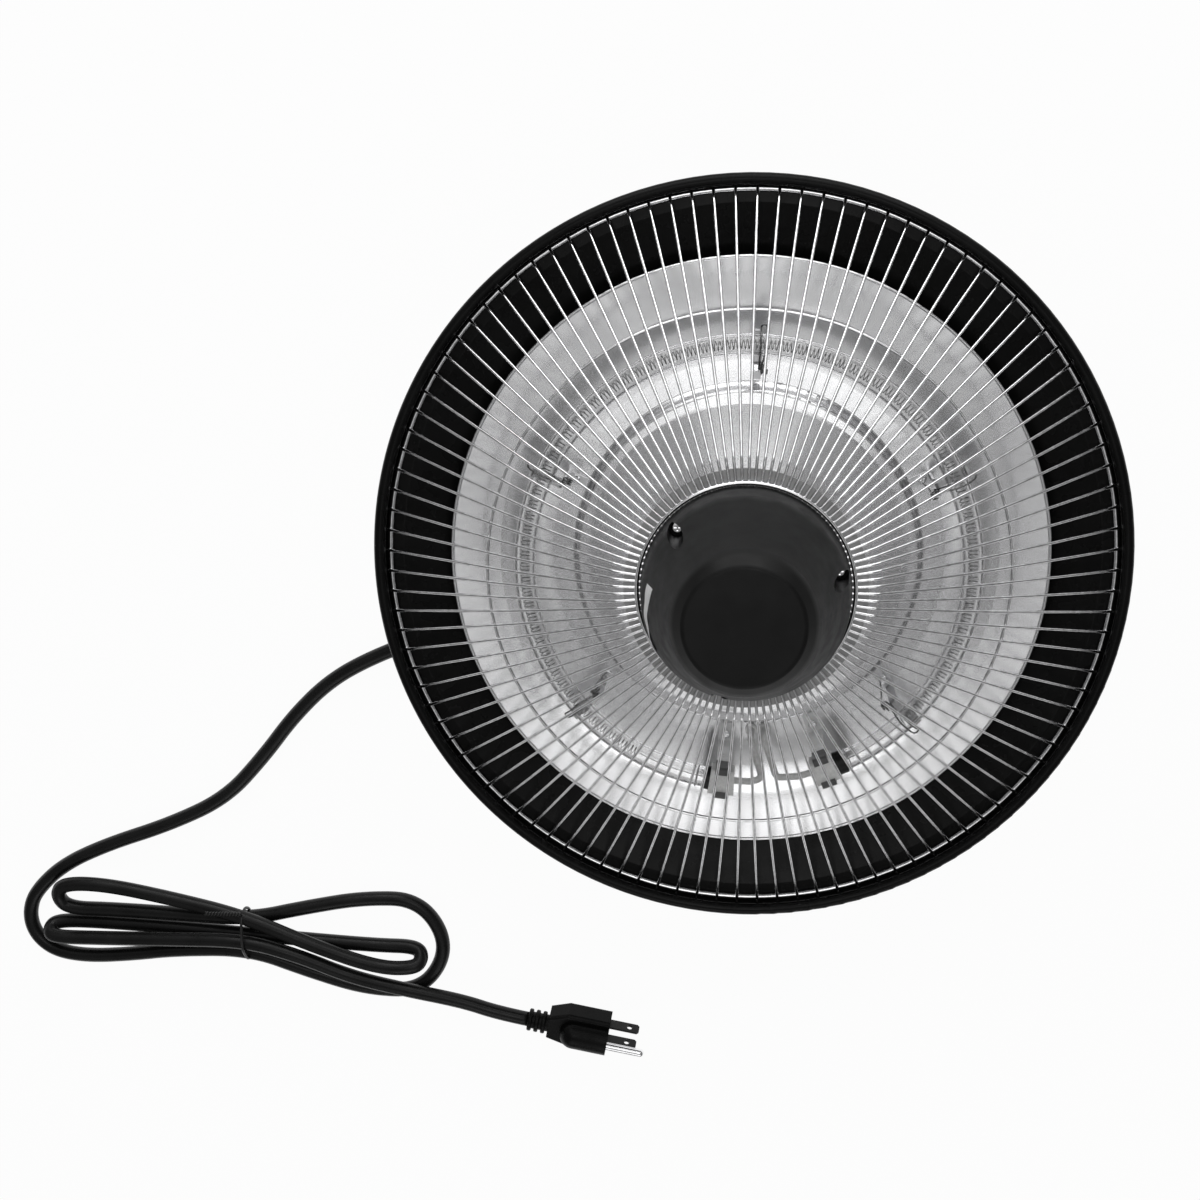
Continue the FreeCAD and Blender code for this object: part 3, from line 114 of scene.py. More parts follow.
WAIST_LOW_Z = 7.0
WAIST_TOP_Z = 16.5
WAIST_PASSES = [(-1.0, WAIST_LOW_Z), (1.0, WAIST_LOW_Z), (1.6, WAIST_TOP_Z), (0.0, WAIST_LOW_Z),
                (0.0, WAIST_TOP_Z)]
# Each loop: side, reach from the waist, and y and z of its outgoing and returning legs
HANK_LOOPS = [(1, 118.0, -286.5, 4.4, -227.5, 4.4), (-1, 115.0, -237.2, 8.8, -218.8, 14.8),
              (1, 106.0, -266.8, 16.4, -256.8, 7.0), (-1, 123.0, -247.2, 4.6, -253.8, 14.5)]
LEG_STEPS = [(0.40, 0.55), (0.80, 1.0)]
END_CORNERS = (60, 0, -60)
LEAD_BEHIND_Y = -197.0    # strands behind this line belong to the lead, not to the hank
OUTER_STRANDS = (0, 1, 2, 4)  # strands that the tie touches, in their order round the hank
TIE_ROOM = 0.5 * MM
TIE_STEPS = 6
SPLINE_STEPS = 12
MERGE = 0.001 * MM

# Filament
COIL_STOP = 24.0          # degrees from the middle of an end cap to the filament's first curl
CURL_STEPS = 8
STRAIGHT_STEPS = 8

# Springs of the clips: their coil lies inside the tube's circle
SPRING_INSET = 12.0 * MM
SPRING_RISE = 1.5 * MM
SPRING_SIDE = -3.5 * MM
SPRING_PITCH = 1.3        # step between turns, over the wire's thickness
SPRING_STEPS = 10
SPRING_GAP = 0.1 * MM
# Hairpin over the tube: place and direction of each leg, then its points in millimetres
HAIRPIN_LEGS = ((-4.4 * MM, 1), (-1.6 * MM, -1))
HAIRPIN_TOP = (-4.0, 2.5)  # out from the tube's circle, on top of the tube
HAIRPIN_BEND = (1.2, 2.5)  # out from the tube's wall, and down from the legs
HAIRPIN_TIP = (4.0, 1.5)   # out from the tube's wall, and down from its middle
HAIRPIN_END = -1.2
# Foot of the spring from the coil's middle; the last height is over the screw heads
FOOT_POINTS = ((-2.5, -5.0, -4.0), (-1.0, -4.0, -20.0))
FOOT_END = (-3.0, -2.0, 1.0)

# Collars of painted shadow, and wires, at the tube's ends
COLLAR_SIDES = 40
COLLAR_FILL = 0.8         # solid share of a collar's wall
END_WIRE = 0.6 * MM
END_WIRE_ROOM = 0.5 * MM
END_WIRE_STEPS = 12
END_WIRE_TURN = 3.4       # degrees from an end cap's face to its wire

# Finishes
PATTERN_LOW, PATTERN_HIGH = 0.35, 0.65  # where a pattern reaches its low and its high value
WAVE_UNIT = 2 * math.pi / 20            # scale at which the wave texture repeats once in a metre
ENAMEL_GLOSS = 0.11
QUARTZ_IOR = 1.46
SLEEVE_SLANT = 0.8
SLEEVE_THREADS = 380.0
PAINTED_SHADE_LOW, PAINTED_SHADE_HIGH = -8 * MM, -3 * MM  # where the painted shade on the holders' jaws starts and is full, from the tube

# Stage: heights of the sky's low and high light, bounds of its glow in front and behind, floor's glow
SKY_LOW, SKY_HIGH = 0.15, 0.6
FRONT_GLOW = (-0.20, -0.30)
BACK_GLOW = (0.08, 0.36)
FLOOR_GLOW = 0.96
# Each lamp: its place, the point that it faces, its width and its height
LAMPS = {
    "key": ((0.0, 0.16, 1.30), (0.0, 0.05, 0.0), 0.42, 0.56),
    "strip": ((0.0, -0.32, 1.30), (0.0, -0.32, 0.0), 0.22, 0.44),
    "slope": ((0.0, -0.92, 1.05), (0.0, -0.06, 0.10), 0.90, 0.34),
    "front": ((-0.06, -1.15, 0.74), (0.0, 0.11, 0.07), 0.90, 0.26),
    "back": ((0.0, 1.15, 0.74), (0.0, 0.05, 0.10), 1.60, 1.10),
    "low": ((0.0, 1.30, 0.50), (0.0, 0.03, 0.22), 1.50, 0.28),
}


# Sizes and colours that a user would change


def colour_property(name, value, description):
    return FloatVectorProperty(name=name, description=description, default=value, subtype="COLOR",
                               min=0.0, max=1.0)


def length_property(name, value, description):
    return FloatProperty(name=name, description=description, default=value, unit="LENGTH", min=0.0)


def strength_property(name, value, description):
    return FloatProperty(name=name, description=description, default=value, min=0.0)


class HeaterColours(bpy.types.PropertyGroup):
    enamel: colour_property("Enamel", (0.005, 0.005, 0.005), "Coating of the shade, cap and bail")
    aluminium: colour_property("Aluminium", (0.86, 0.86, 0.87), "Satin sheet of the reflector")
    plating: colour_property("Plating", (0.86, 0.86, 0.87), "Bright wire and screws")
    steel: colour_property("Steel", (0.62, 0.62, 0.63), "Brackets, end wires and zinc plated pieces")
    hub: colour_property("Hub", (0.006, 0.006, 0.006), "Hub cover")
    rubber: colour_property("Rubber", (0.004, 0.004, 0.004), "Gland and plug")
    jacket: colour_property("Jacket", (0.009, 0.009, 0.009), "Jacket of the cord")
    ceramic: colour_property("Ceramic", (0.94, 0.94, 0.93), "End caps, bushings and sleeves")
    filament: colour_property("Filament", (0.30, 0.30, 0.30), "Dull wire of the filament")
    spring: colour_property("Spring", (0.20, 0.20, 0.20), "Wire springs over the tube")
    holder: colour_property("Holder", (0.92, 0.92, 0.92), "Pale sheet of the end holders")
    # the collars' dark colour is painted shadow of the gaps round the tube at its end caps
    collar: colour_property("Collar", (0.035, 0.035, 0.035), "Dark collars at the tube's ends")
    plate: colour_property("Plate", (0.32, 0.32, 0.32), "Plate behind the hub cover")
    wiring: colour_property("Wiring", (0.08, 0.08, 0.09), "Insulation inside the cap")
    blade: colour_property("Blade", (0.03, 0.03, 0.03), "Tarnished blades of the plug")
    paper: colour_property("Paper", (0.92, 0.92, 0.92), "Blank label")


class CordSizes(bpy.types.PropertyGroup):
    diameter: length_property("Diameter", 8.7 * MM, "Thickness of the cord")
    tie: length_property("Tie", 1.7 * MM, "Thickness of the tie wire")
    tie_tail: length_property("Tie end", 22.0 * MM, "Length of the tie's twisted end")
    tie_turns: IntProperty(name="Tie turns", description="Turns in the tie's twisted end", default=6, min=1)


class ElementSizes(bpy.types.PropertyGroup):
    coil_r: length_property("Coil radius", 2.5 * MM, "Middle radius of the filament's coil")
    wire: length_property("Wire", 0.5 * MM, "Thickness of the filament's wire")
    pitch: length_property("Pitch", 1.9 * MM, "Step from one curl to the next")
    spring_wire: length_property("Spring wire", 0.9 * MM, "Thickness of the clips' wire")
    spring_coil_r: length_property("Spring coil", 2.3 * MM, "Middle radius of a clip's coil")
    collar: length_property("Collar", 2.6 * MM, "Length of the collar at the tube's left end")
    collar_wall: length_property("Collar wall", 0.9 * MM, "Thickness of the collars")
    spring_turns: IntProperty(name="Spring turns", description="Turns in a clip's coil", default=3, min=1)


class StageSettings(bpy.types.PropertyGroup):
    floor: colour_property("Floor", (0.90, 0.90, 0.90), "Colour of the floor")
    floor_side: length_property("Floor side", 30.0, "Length of the floor's sides")
    horizon: strength_property("Horizon", 0.16, "Strength of the light low round the heater")
    zenith: strength_property("Zenith", 0.18, "Strength of the light from above")
    front: strength_property("Front", 0.12, "Added strength of the light high in front")
    back: strength_property("Back", 0.25, "Added strength of the light high behind")
    key_power: strength_property("Key box", 1.2, "Power of the box over the heater")
    strip_power: strength_property("Strip box", 0.15, "Power of the strip between the key and the front")
    slope_power: strength_property("Slope box", 0.70, "Power of the high box in front")
    front_power: strength_property("Front box", 1.2, "Power of the low box in front")
    back_power: strength_property("Back box", 7.0, "Power of the tall box behind")
    low_power: strength_property("Low box", 3.2, "Power of the low box behind")


# Finishes


def new_finish(name, colour, roughness, metallic=0.0):
    material = bpy.data.materials.new(name)
    material.use_nodes = True
    shader = material.node_tree.nodes["Principled BSDF"]
    shader.inputs["Base Color"].default_value = (*colour, 1.0)
    shader.inputs["Roughness"].default_value = roughness
    shader.inputs["Metallic"].default_value = metallic
    return material, shader


def node(material, kind, inputs, **settings):
    """A new node whose inputs are values or the outputs that feed them."""
    made = material.node_tree.nodes.new(kind)
    for name, value in settings.items():
        setattr(made, name, value)
    for name, value in inputs.items():
        if isinstance(value, bpy.types.NodeSocket):
            material.node_tree.links.new(value, made.inputs[name])
        else:
            made.inputs[name].default_value = value
    return made


def object_space(material, turn=(0.0, 0.0, 0.0)):
    place = node(material, "ShaderNodeTexCoord", {}).outputs["Object"]
    return node(material, "ShaderNodeMapping", {"Vector": place, "Rotation": turn}).outputs[0]


def noise(material, size, detail=2.0):
    """A noise pattern whose features are about that size in metres."""
    inputs = {"Vector": object_space(material), "Scale": 1 / size, "Detail": detail}
    return node(material, "ShaderNodeTexNoise", inputs).outputs[0]


def rings(material, period, wander):
    """Fine circles round the heater's axis, as a spun sheet has."""
    inputs = {"Vector": object_space(material), "Scale": WAVE_UNIT / period, "Distortion": wander,
              "Detail": 2.0}
    waves = node(material, "ShaderNodeTexWave", inputs, wave_type="RINGS", rings_direction="Z")
    return waves.outputs["Fac"]


def ranged(material, pattern, low, high):
    inputs = {"Value": pattern, "From Min": PATTERN_LOW, "From Max": PATTERN_HIGH, "To Min": low,
              "To Max": high}
    return node(material, "ShaderNodeMapRange", inputs).outputs["Result"]


def tinted(material, shader, pattern, colour, dark, light):
    """Colour that wanders between shares of its even value."""
    made = node(material, "ShaderNodeValToRGB", {"Fac": pattern})
    bounds = (PATTERN_LOW, PATTERN_HIGH)
    for element, place, share in zip(made.color_ramp.elements, bounds, (dark, light)):
        element.position = place
        element.color = (*[min(1.0, channel * share) for channel in colour], 1.0)
    material.node_tree.links.new(made.outputs["Color"], shader.inputs["Base Color"])


def mottled(material, shader, pattern, low, high):
    """Roughness that wanders between two values."""
    material.node_tree.links.new(ranged(material, pattern, low, high), shader.inputs["Roughness"])


def embossed(material, shader, pattern, depth):
    """Relief of that depth in metres, laid over any that is there."""
    made = node(material, "ShaderNodeBump", {"Height": pattern, "Strength": 1.0, "Distance": depth})
    normal = shader.inputs["Normal"]
    if normal.is_linked:
        material.node_tree.links.new(normal.links[0].from_socket, made.inputs["Normal"])
    material.node_tree.links.new(made.outputs["Normal"], normal)


def enamel_finish(name, colour, low, high):
    """Coated sheet with a faint orange peel."""
    material, shader = new_finish(name, colour, low)
    shader.inputs["Specular IOR Level"].default_value = ENAMEL_GLOSS
    tinted(material, shader, noise(material, 30 * MM, 3.0), colour, 0.8, 1.25)
    mottled(material, shader, noise(material, 14 * MM, 4.0), low, high)
    embossed(material, shader, noise(material, 1.2 * MM), 0.012 * MM)
    return material


def spun_aluminium(colour):
    """Satin sheet with faint turning lines and slow dents."""
    material, shader = new_finish("spun_aluminium", colour, 0.3, 1.0)
    tinted(material, shader, noise(material, 60 * MM, 1.0), colour, 0.95, 1.05)
    mottled(material, shader, noise(material, 40 * MM, 1.0), 0.17, 0.23)
    embossed(material, shader, rings(material, 0.9 * MM, 1.5), 0.0012 * MM)
    embossed(material, shader, noise(material, 70 * MM, 0.0), 0.5 * MM)
    return material


def metal_finish(name, colour, low, high, speckle):
    """Bare or plated metal with a little unevenness."""
    material, shader = new_finish(name, colour, low, 1.0)
    tinted(material, shader, noise(material, speckle, 3.0), colour, 0.86, 1.1)
    mottled(material, shader, noise(material, 2 * speckle, 3.0), low, high)
    embossed(material, shader, noise(material, speckle), 0.01 * MM)
    return material


def moulded_finish(name, colour, low, high, grain, gloss=0.5):
    """Moulded plastic or rubber with a fine grain."""
    material, shader = new_finish(name, colour, low)
    shader.inputs["Specular IOR Level"].default_value = gloss
    tinted(material, shader, noise(material, 20 * MM, 3.0), colour, 0.8, 1.3)
    mottled(material, shader, noise(material, 9 * MM, 4.0), low, high)
    embossed(material, shader, noise(material, grain, 3.0), 0.05 * grain)
    return material


def holder_finish(colour):
    """Sheet whose jaws beside the tube are darkened with painted shade, standing for the dark slots beside
    the end caps.
    """
    material, shader = new_finish("holder_steel", colour, 0.4)
    height = node(material, "ShaderNodeSeparateXYZ", {"Vector": object_space(material)}).outputs["Z"]
    inputs = {"Value": height, "From Min": TUBE_Z + PAINTED_SHADE_LOW, "From Max": TUBE_Z + PAINTED_SHADE_HIGH, "To Min": 1.0,
              "To Max": 0.0}
    unshaded = node(material, "ShaderNodeMapRange", inputs).outputs["Result"]
    # painted shade: the sheet turns dark above a level just under the tube, for the slots beside the end caps
    tinted(material, shader, unshaded, colour, 0.12, 1.0)
    mottled(material, shader, noise(material, 6 * MM, 3.0), 0.28, 0.42)
    embossed(material, shader, noise(material, 3 * MM), 0.01 * MM)
    return material


def quartz_finish():
    material, shader = new_finish("clear_quartz", (0.97, 0.97, 0.97), 0.02)
    shader.inputs["Transmission Weight"].default_value = 1.0
    shader.inputs["IOR"].default_value = QUARTZ_IOR
    mottled(material, shader, noise(material, 12 * MM), 0.01, 0.05)
    return material


def ceramic_finish(colour):
    material, shader = new_finish("white_ceramic", colour, 0.5)
    tinted(material, shader, noise(material, 1.5 * MM, 3.0), colour, 0.9, 1.05)
    mottled(material, shader, noise(material, 3 * MM), 0.42, 0.6)
    embossed(material, shader, noise(material, 0.6 * MM), 0.02 * MM)
    return material


def sleeve_finish(colour):
    """Braided glass sleeve: two sets of slanting threads."""
    material, shader = new_finish("braided_sleeve", colour, 0.6)
    for slant in (SLEEVE_SLANT, -SLEEVE_SLANT):
        space = object_space(material, (slant, slant, 0.0))
        inputs = {"Vector": space, "Scale": SLEEVE_THREADS, "Distortion": 0.6}
        threads = node(material, "ShaderNodeTexWave", inputs, wave_type="BANDS").outputs["Fac"]
        embossed(material, shader, threads, 0.12 * MM)
    tinted(material, shader, noise(material, 2 * MM), colour, 0.8, 1.0)
    return material


def paper_finish(colour):
    material, shader = new_finish("blank_paper", colour, 0.55)
    tinted(material, shader, noise(material, 2 * MM, 4.0), colour, 0.94, 1.03)
    embossed(material, shader, noise(material, 0.5 * MM, 3.0), 0.02 * MM)
    return material


# Shared builders


def polar(radius, angle, z=0.0):
    turn = math.radians(angle)
    return Vector((radius * math.cos(turn), radius * math.sin(turn), z))


def linked(name, data):
    piece = bpy.data.objects.new(name, data)
    bpy.context.scene.collection.objects.link(piece)
    return piece


def new_curve(name, thickness, sides):
    curve = bpy.data.curves.new(name, "CURVE")
    curve.dimensions = "3D"
    curve.bevel_depth = thickness / 2
    curve.bevel_resolution = sides
    curve.use_fill_caps = True
    return curve


def add_spline(curve, points, closed=False, steps=SPLINE_STEPS):
    spline = curve.splines.new("NURBS")
    spline.points.add(len(points) - 1)
    for place, point in zip(spline.points, points):
        place.co = (*point, 1.0)
    spline.use_cyclic_u = closed
    spline.use_endpoint_u = not closed
    spline.order_u = 3
    spline.resolution_u = steps


def solid_wire(curve):
    """A mesh piece from a bevelled curve, closed at its ends."""
    line = linked(curve.name + "_line", curve)
    bpy.context.view_layer.update()
    mesh = bpy.data.meshes.new_from_object(line.evaluated_get(bpy.context.evaluated_depsgraph_get()))
    mesh.name = curve.name
    bpy.data.objects.remove(line)
    shape = bmesh.new()
    shape.from_mesh(mesh)
    bmesh.ops.remove_doubles(shape, verts=shape.verts, dist=MERGE)
    bmesh.ops.recalc_face_normals(shape, faces=shape.faces)
    shape.to_mesh(mesh)
    shape.free()
    return linked(curve.name, mesh)


def keep(piece, slot, material, *nodes):
    """A new piece's finish, its body and the nodes that it stands for."""
    piece.data.materials.append(material)
    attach(piece, BODY)
    if nodes:
        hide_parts(*nodes)
    return piece


def paint(material, *names):
    for name in names:
        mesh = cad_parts[name].data
        mesh.materials.clear()
        mesh.materials.append(material)


# Cord and tie


def hank_points():
    """The hank's loops in order, each out along one leg, round its end and back along the other."""
    points = []
    for k, (side, reach, out_y, out_z, back_y, back_z) in enumerate(HANK_LOOPS):
        step, from_z = WAIST_PASSES[k]
        next_step, to_z = WAIST_PASSES[k + 1]
        from_y, to_y = WAIST_Y + step * STRAND_PITCH, WAIST_Y + next_step * STRAND_PITCH
        half_y, half_z = (out_y - back_y) / 2, (out_z - back_z) / 2
        end_r = math.hypot(half_y, half_z)
        length = reach - end_r
        points.append((WAIST_X, from_y, from_z))
        for way, spread in LEG_STEPS:
            y, z = from_y + (out_y - from_y) * spread, from_z + (out_z - from_z) * spread
            points.append((WAIST_X + side * way * length, y, z))
        corner = end_r / math.cos(math.radians(END_CORNERS[0] / 2))
        for turn in END_CORNERS:
            x = WAIST_X + side * (length + corner * math.cos(math.radians(turn)))
            share = math.copysign(1, turn) if turn else 0
            points.append((x, (out_y + back_y) / 2 + half_y * share, (out_z + back_z) / 2 + half_z * share))
        for way, spread in LEG_STEPS[::-1]:
            y, z = to_y + (back_y - to_y) * spread, to_z + (back_z - to_z) * spread
            points.append((WAIST_X + side * way * length, y, z))
    step, last_z = WAIST_PASSES[-1]
    points.append((WAIST_X, WAIST_Y + step * STRAND_PITCH, last_z))
    return points


def cord_route():
    """Control points of the whole cord, in metres, from the gland to the plug."""
    gland_tip = polar(GLAND_TIP_R, GLAND_ANGLE, GLAND_Z)
    gland_exit = polar(GLAND_TIP_R + GLAND_RUN, GLAND_ANGLE, GLAND_Z)
    plug_end = Vector(PLUG_PLACE)
    plug_entry = plug_end - polar(PLUG_RUN, PLUG_TURN)
    route = [gland_tip, gland_exit, *LEAD_POINTS, *hank_points(), *TAIL_POINTS, plug_entry, plug_end]
    return [Vector(point) * MM for point in route]


def centreline(points):
    """Points along the smooth spline that has these control points."""
    curve = new_curve("route", 0.0, 0)
    add_spline(curve, points)
    route = linked("route", curve)
    bpy.context.view_layer.update()
    line = bpy.data.meshes.new_from_object(route.evaluated_get(bpy.context.evaluated_depsgraph_get()))
    found = []
    for vertex in line.vertices:
        if not found or (vertex.co - found[-1]).length > MERGE:
            found.append(vertex.co.copy())
    bpy.data.objects.remove(route)
    return found


def waist_crossings(points):
    """Where the strands of the hank cross the plane of the tie, in the order of the cord."""
    level = WAIST_X * MM
    found = []
    for a, b in zip(points, points[1:]):
        if (a.x - level) * (b.x - level) < 0 and a.y < LEAD_BEHIND_Y * MM:
            found.append(a.lerp(b, (level - a.x) / (b.x - a.x)))
    return found


class HEATER_OT_supply_cord(bpy.types.Operator):
    """Lay the supply cord from the gland through its hank to the plug"""
    bl_idname = "heater.supply_cord"
    bl_label = "Supply cord"

    def execute(self, context):
        sizes = context.scene.heater_cord
        route = cord_route()
        curve = new_curve("supply_cord", sizes.diameter, 5)
        add_spline(curve, route)
        cord = solid_wire(curve)
        path = centreline(route)
        colour = context.scene.heater_colours.jacket
        jacket = moulded_finish("cord_jacket", colour, 0.24, 0.36, 0.7 * MM, 0.22)
        keep(cord, "cord_jacket", jacket, "cord_lead", "cord_hank", "cord_tail")
        tie = self.hank_tie(context, path)
        return {"FINISHED"}

    def hank_tie(self, context, path):
        """Wire drawn round the waist of the hank, with its two ends twisted together."""
        sizes = context.scene.heater_cord
        strands = waist_crossings(path)
        outer = [strands[k] for k in OUTER_STRANDS]
        middle = sum(outer, Vector()) / len(outer)
        reach = (sizes.diameter + sizes.tie) / 2 + TIE_ROOM
        ring = []
        for k, strand in enumerate(outer):
            for other in (outer[k - 1], outer[(k + 1) % len(outer)]):
                run = (other - strand).normalized()
                away = Vector((0.0, run.z, -run.y))
                if away.dot(strand - middle) < 0:
                    away = -away
                ring.append(strand + away * reach)
        curve = new_curve("hank_tie_wire", sizes.tie, 3)
        add_spline(curve, ring, closed=True)
        start = outer[2] + Vector((0.0, 1.0, 1.0)).normalized() * reach
        steps = TIE_STEPS * sizes.tie_turns
        for phase in (0.0, math.pi):
            strand = []
            for k in range(steps + 1):
                turn = phase + 2 * math.pi * sizes.tie_turns * k / steps
                sway = Vector((0.0, math.cos(turn), math.sin(turn))) * sizes.tie / 2
                strand.append(start + Vector((-sizes.tie_tail * k / steps, 0.0, 0.0)) + sway)
            add_spline(curve, strand, steps=4)
        material = moulded_finish("tie_wire_coat", context.scene.heater_colours.jacket, 0.35, 0.5, 0.5 * MM)
        return keep(solid_wire(curve), "tie_wire", material, "hank_tie")


# Heating element and its clips


class HEATER_OT_filament(bpy.types.Operator):
    """Wind the filament inside the quartz tube"""
    bl_idname = "heater.filament"
    bl_label = "Filament"

    def execute(self, context):
        sizes = context.scene.heater_element
        start, end = END_CAP_ANGLES[1] + COIL_STOP, END_CAP_ANGLES[0] + 360.0 - COIL_STOP
        arc = math.radians(end - start)
        curls = int(arc * TUBE_CIRCLE_R / sizes.pitch)
        steps = CURL_STEPS * curls
        points = []
        for k in range(steps + 1):
            turn = 2 * math.pi * k * curls / steps
            radius = TUBE_CIRCLE_R + sizes.coil_r * math.cos(turn)
            angle = start + (end - start) * k / steps
            points.append(polar(radius, angle, TUBE_Z + sizes.coil_r * math.sin(turn)))
        curve = new_curve("filament_coil", sizes.wire, 0)
        add_spline(curve, points, steps=2)
        for first, cap, side in ((start, END_CAP_ANGLES[1], 1), (end, END_CAP_ANGLES[0] + 360.0, -1)):
            last = cap + side * END_CAP_ARC / 2
            turns = [first + (last - first) * k / STRAIGHT_STEPS for k in range(STRAIGHT_STEPS + 1)]
            add_spline(curve, [polar(TUBE_CIRCLE_R, turn, TUBE_Z) for turn in turns], steps=4)
        material = metal_finish("filament_wire", context.scene.heater_colours.filament, 0.3, 0.45, 2 * MM)
        keep(solid_wire(curve), "filament_wire", material, "heating_filament")
        paint(quartz_finish(), "heating_tube")
        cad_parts["heating_tube"].visible_shadow = False
        return {"FINISHED"}


class HEATER_OT_clip_springs(bpy.types.Operator):
    """Bend the wire springs that hold the quartz tube"""
    bl_idname = "heater.clip_springs"
    bl_label = "Clip springs"

    def execute(self, context):
        sizes = context.scene.heater_element
        curve = new_curve("clip_spring_wires", sizes.spring_wire, 2)
        for angle in CLIP_ANGLES:
            turn = Matrix.Rotation(math.radians(angle), 3, "Z")
            for line in self.spring_lines(sizes):
                add_spline(curve, [turn @ point for point in line], steps=4)
        material = metal_finish("spring_steel", context.scene.heater_colours.spring, 0.2, 0.34, 1.5 * MM)
        keep(solid_wire(curve), "clip_steel", material, "tube_clip_springs")
        return {"FINISHED"}

    def spring_lines(self, sizes):
        """A coil beside the post, a hairpin from it over the tube, and a foot down the post."""
        over = TUBE_Z + TUBE_R + sizes.spring_wire / 2 + SPRING_GAP
        axis_r = TUBE_CIRCLE_R - SPRING_INSET
        axis_z = TUBE_Z + SPRING_RISE
        coil = []
        steps = SPRING_STEPS * sizes.spring_turns
        width = sizes.spring_turns * SPRING_PITCH * sizes.spring_wire
        for k in range(steps + 1):
            turn = math.pi / 2 + 2 * math.pi * k / SPRING_STEPS
            across = (k / steps - 0.5) * width + SPRING_SIDE
            coil.append(Vector((axis_r + sizes.spring_coil_r * math.cos(turn), across,
                                axis_z + sizes.spring_coil_r * math.sin(turn))))
        wall_r = TUBE_CIRCLE_R + TUBE_R
        hairpin = [coil[-1]]
        for across, way in HAIRPIN_LEGS:
            leg = [Vector((TUBE_CIRCLE_R + out * MM, across, over)) for out in HAIRPIN_TOP]
            leg.append(Vector((wall_r + HAIRPIN_BEND[0] * MM, across, over - HAIRPIN_BEND[1] * MM)))
            leg.append(Vector((wall_r + HAIRPIN_TIP[0] * MM, across, TUBE_Z - HAIRPIN_TIP[1] * MM)))
            hairpin += leg[::way]
        hairpin.append(Vector((axis_r, HAIRPIN_END * MM, axis_z)))
        middle = Vector((axis_r, 0.0, axis_z))
        foot = [coil[0], *[middle + Vector(point) * MM for point in FOOT_POINTS]]
        screw_top = Vector((axis_r, 0.0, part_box("clip_screws")[1].z))
        foot.append(screw_top + Vector(FOOT_END) * MM)
        return [coil, hairpin, foot]


class HEATER_OT_tube_collars(bpy.types.Operator):
    """Fit the dark collars, painted shadow of the gaps round the tube, and thin wires where the tube leaves
    its end caps
    """
    bl_idname = "heater.tube_collars"
    bl_label = "Tube collars"

    def execute(self, context):
        sizes = context.scene.heater_element
        shape = bmesh.new()
        curve = new_curve("tube_end_wires", END_WIRE, 2)
        collar_r, wire_r = TUBE_R + sizes.collar_wall, TUBE_R + END_WIRE_ROOM
        turns = [2 * math.pi * k / END_WIRE_STEPS for k in range(END_WIRE_STEPS)]
        ends = ((END_CAP_ANGLES[0], -1, sizes.collar), (END_CAP_ANGLES[1], 1, 2 * sizes.collar))
        for cap, side, length in ends:
            angle = cap + side * END_CAP_ARC / 2
            made = bmesh.ops.create_cone(shape, cap_ends=False, segments=COLLAR_SIDES, radius1=collar_r,
                                         radius2=collar_r, depth=length)
            along = Matrix.Rotation(math.radians(90), 4, "X")
            place = Matrix.Rotation(math.radians(angle), 4, "Z") @ Matrix.Translation(
                (TUBE_CIRCLE_R, side * length / 2, TUBE_Z)) @ along
            bmesh.ops.transform(shape, matrix=place, verts=made["verts"])
            wire_turn = Matrix.Rotation(math.radians(angle + side * END_WIRE_TURN), 3, "Z")
            loop = [wire_turn @ Vector((TUBE_CIRCLE_R + wire_r * math.cos(turn), 0.0,
                                        TUBE_Z + wire_r * math.sin(turn))) for turn in turns]
            add_spline(curve, loop, closed=True, steps=4)
        bmesh.ops.recalc_face_normals(shape, faces=shape.faces)
        bmesh.ops.solidify(shape, geom=shape.faces[:], thickness=sizes.collar_wall * COLLAR_FILL)
        mesh = bpy.data.meshes.new("tube_collars")
        shape.to_mesh(mesh)
        shape.free()
        colours = context.scene.heater_colours
        # painted shadow: a dark collar where the tube enters each end cap
        dark = metal_finish("dark_collar", colours.collar, 0.3, 0.45, 2 * MM)
        keep(linked("tube_collars", mesh), "clip_steel", dark)
        steel = metal_finish("end_wire_steel", colours.steel, 0.25, 0.4, 1 * MM)
        keep(solid_wire(curve), "clip_steel", steel)
        return {"FINISHED"}


# Label


class HEATER_OT_hub_label(bpy.types.Operator):
    """Stick the blank label on the hub cover, lifting towards its last end"""
    bl_idname = "heater.hub_label"
    bl_label = "Hub label"

    def execute(self, context):
        shape = bmesh.new()
        columns, rows = LABEL_CELLS
        bmesh.ops.create_grid(shape, x_segments=columns, y_segments=rows, size=0.5)
        slope = (SHOULDER_CORNER - FLANK_CORNER).normalized()
        outward = Vector((slope.y, -slope.x))
        for vert in shape.verts:
            along, up = vert.co.x + 0.5, vert.co.y + 0.5
            waves = [size * math.sin(rate * along) for size, rate in LABEL_WAVES]
            low = (LABEL_LOW[0] + LABEL_LOW[1] * along + waves[0]) * MM
            height = (LABEL_HEIGHT[0] + LABEL_HEIGHT[1] * along + waves[1]) * MM
            lift = (LABEL_LIFT[0] + LABEL_LIFT[1] * along * along * up + waves[2]) * MM
            spot = FLANK_CORNER + slope * (low + height * up) + outward * lift
            vert.co = polar(spot.x, LABEL_START + LABEL_ARC * along, HUB_BASE_Z + spot.y)
        bmesh.ops.recalc_face_normals(shape, faces=shape.faces)
        bmesh.ops.solidify(shape, geom=shape.faces[:], thickness=LABEL_T)
        mesh = bpy.data.meshes.new("blank_label")
        shape.to_mesh(mesh)
        shape.free()
        label = linked("blank_label", mesh)
        keep(label, "label_paper", paper_finish(context.scene.heater_colours.paper), "hub_label")
        return {"FINISHED"}


# Finishes of the frame's own nodes


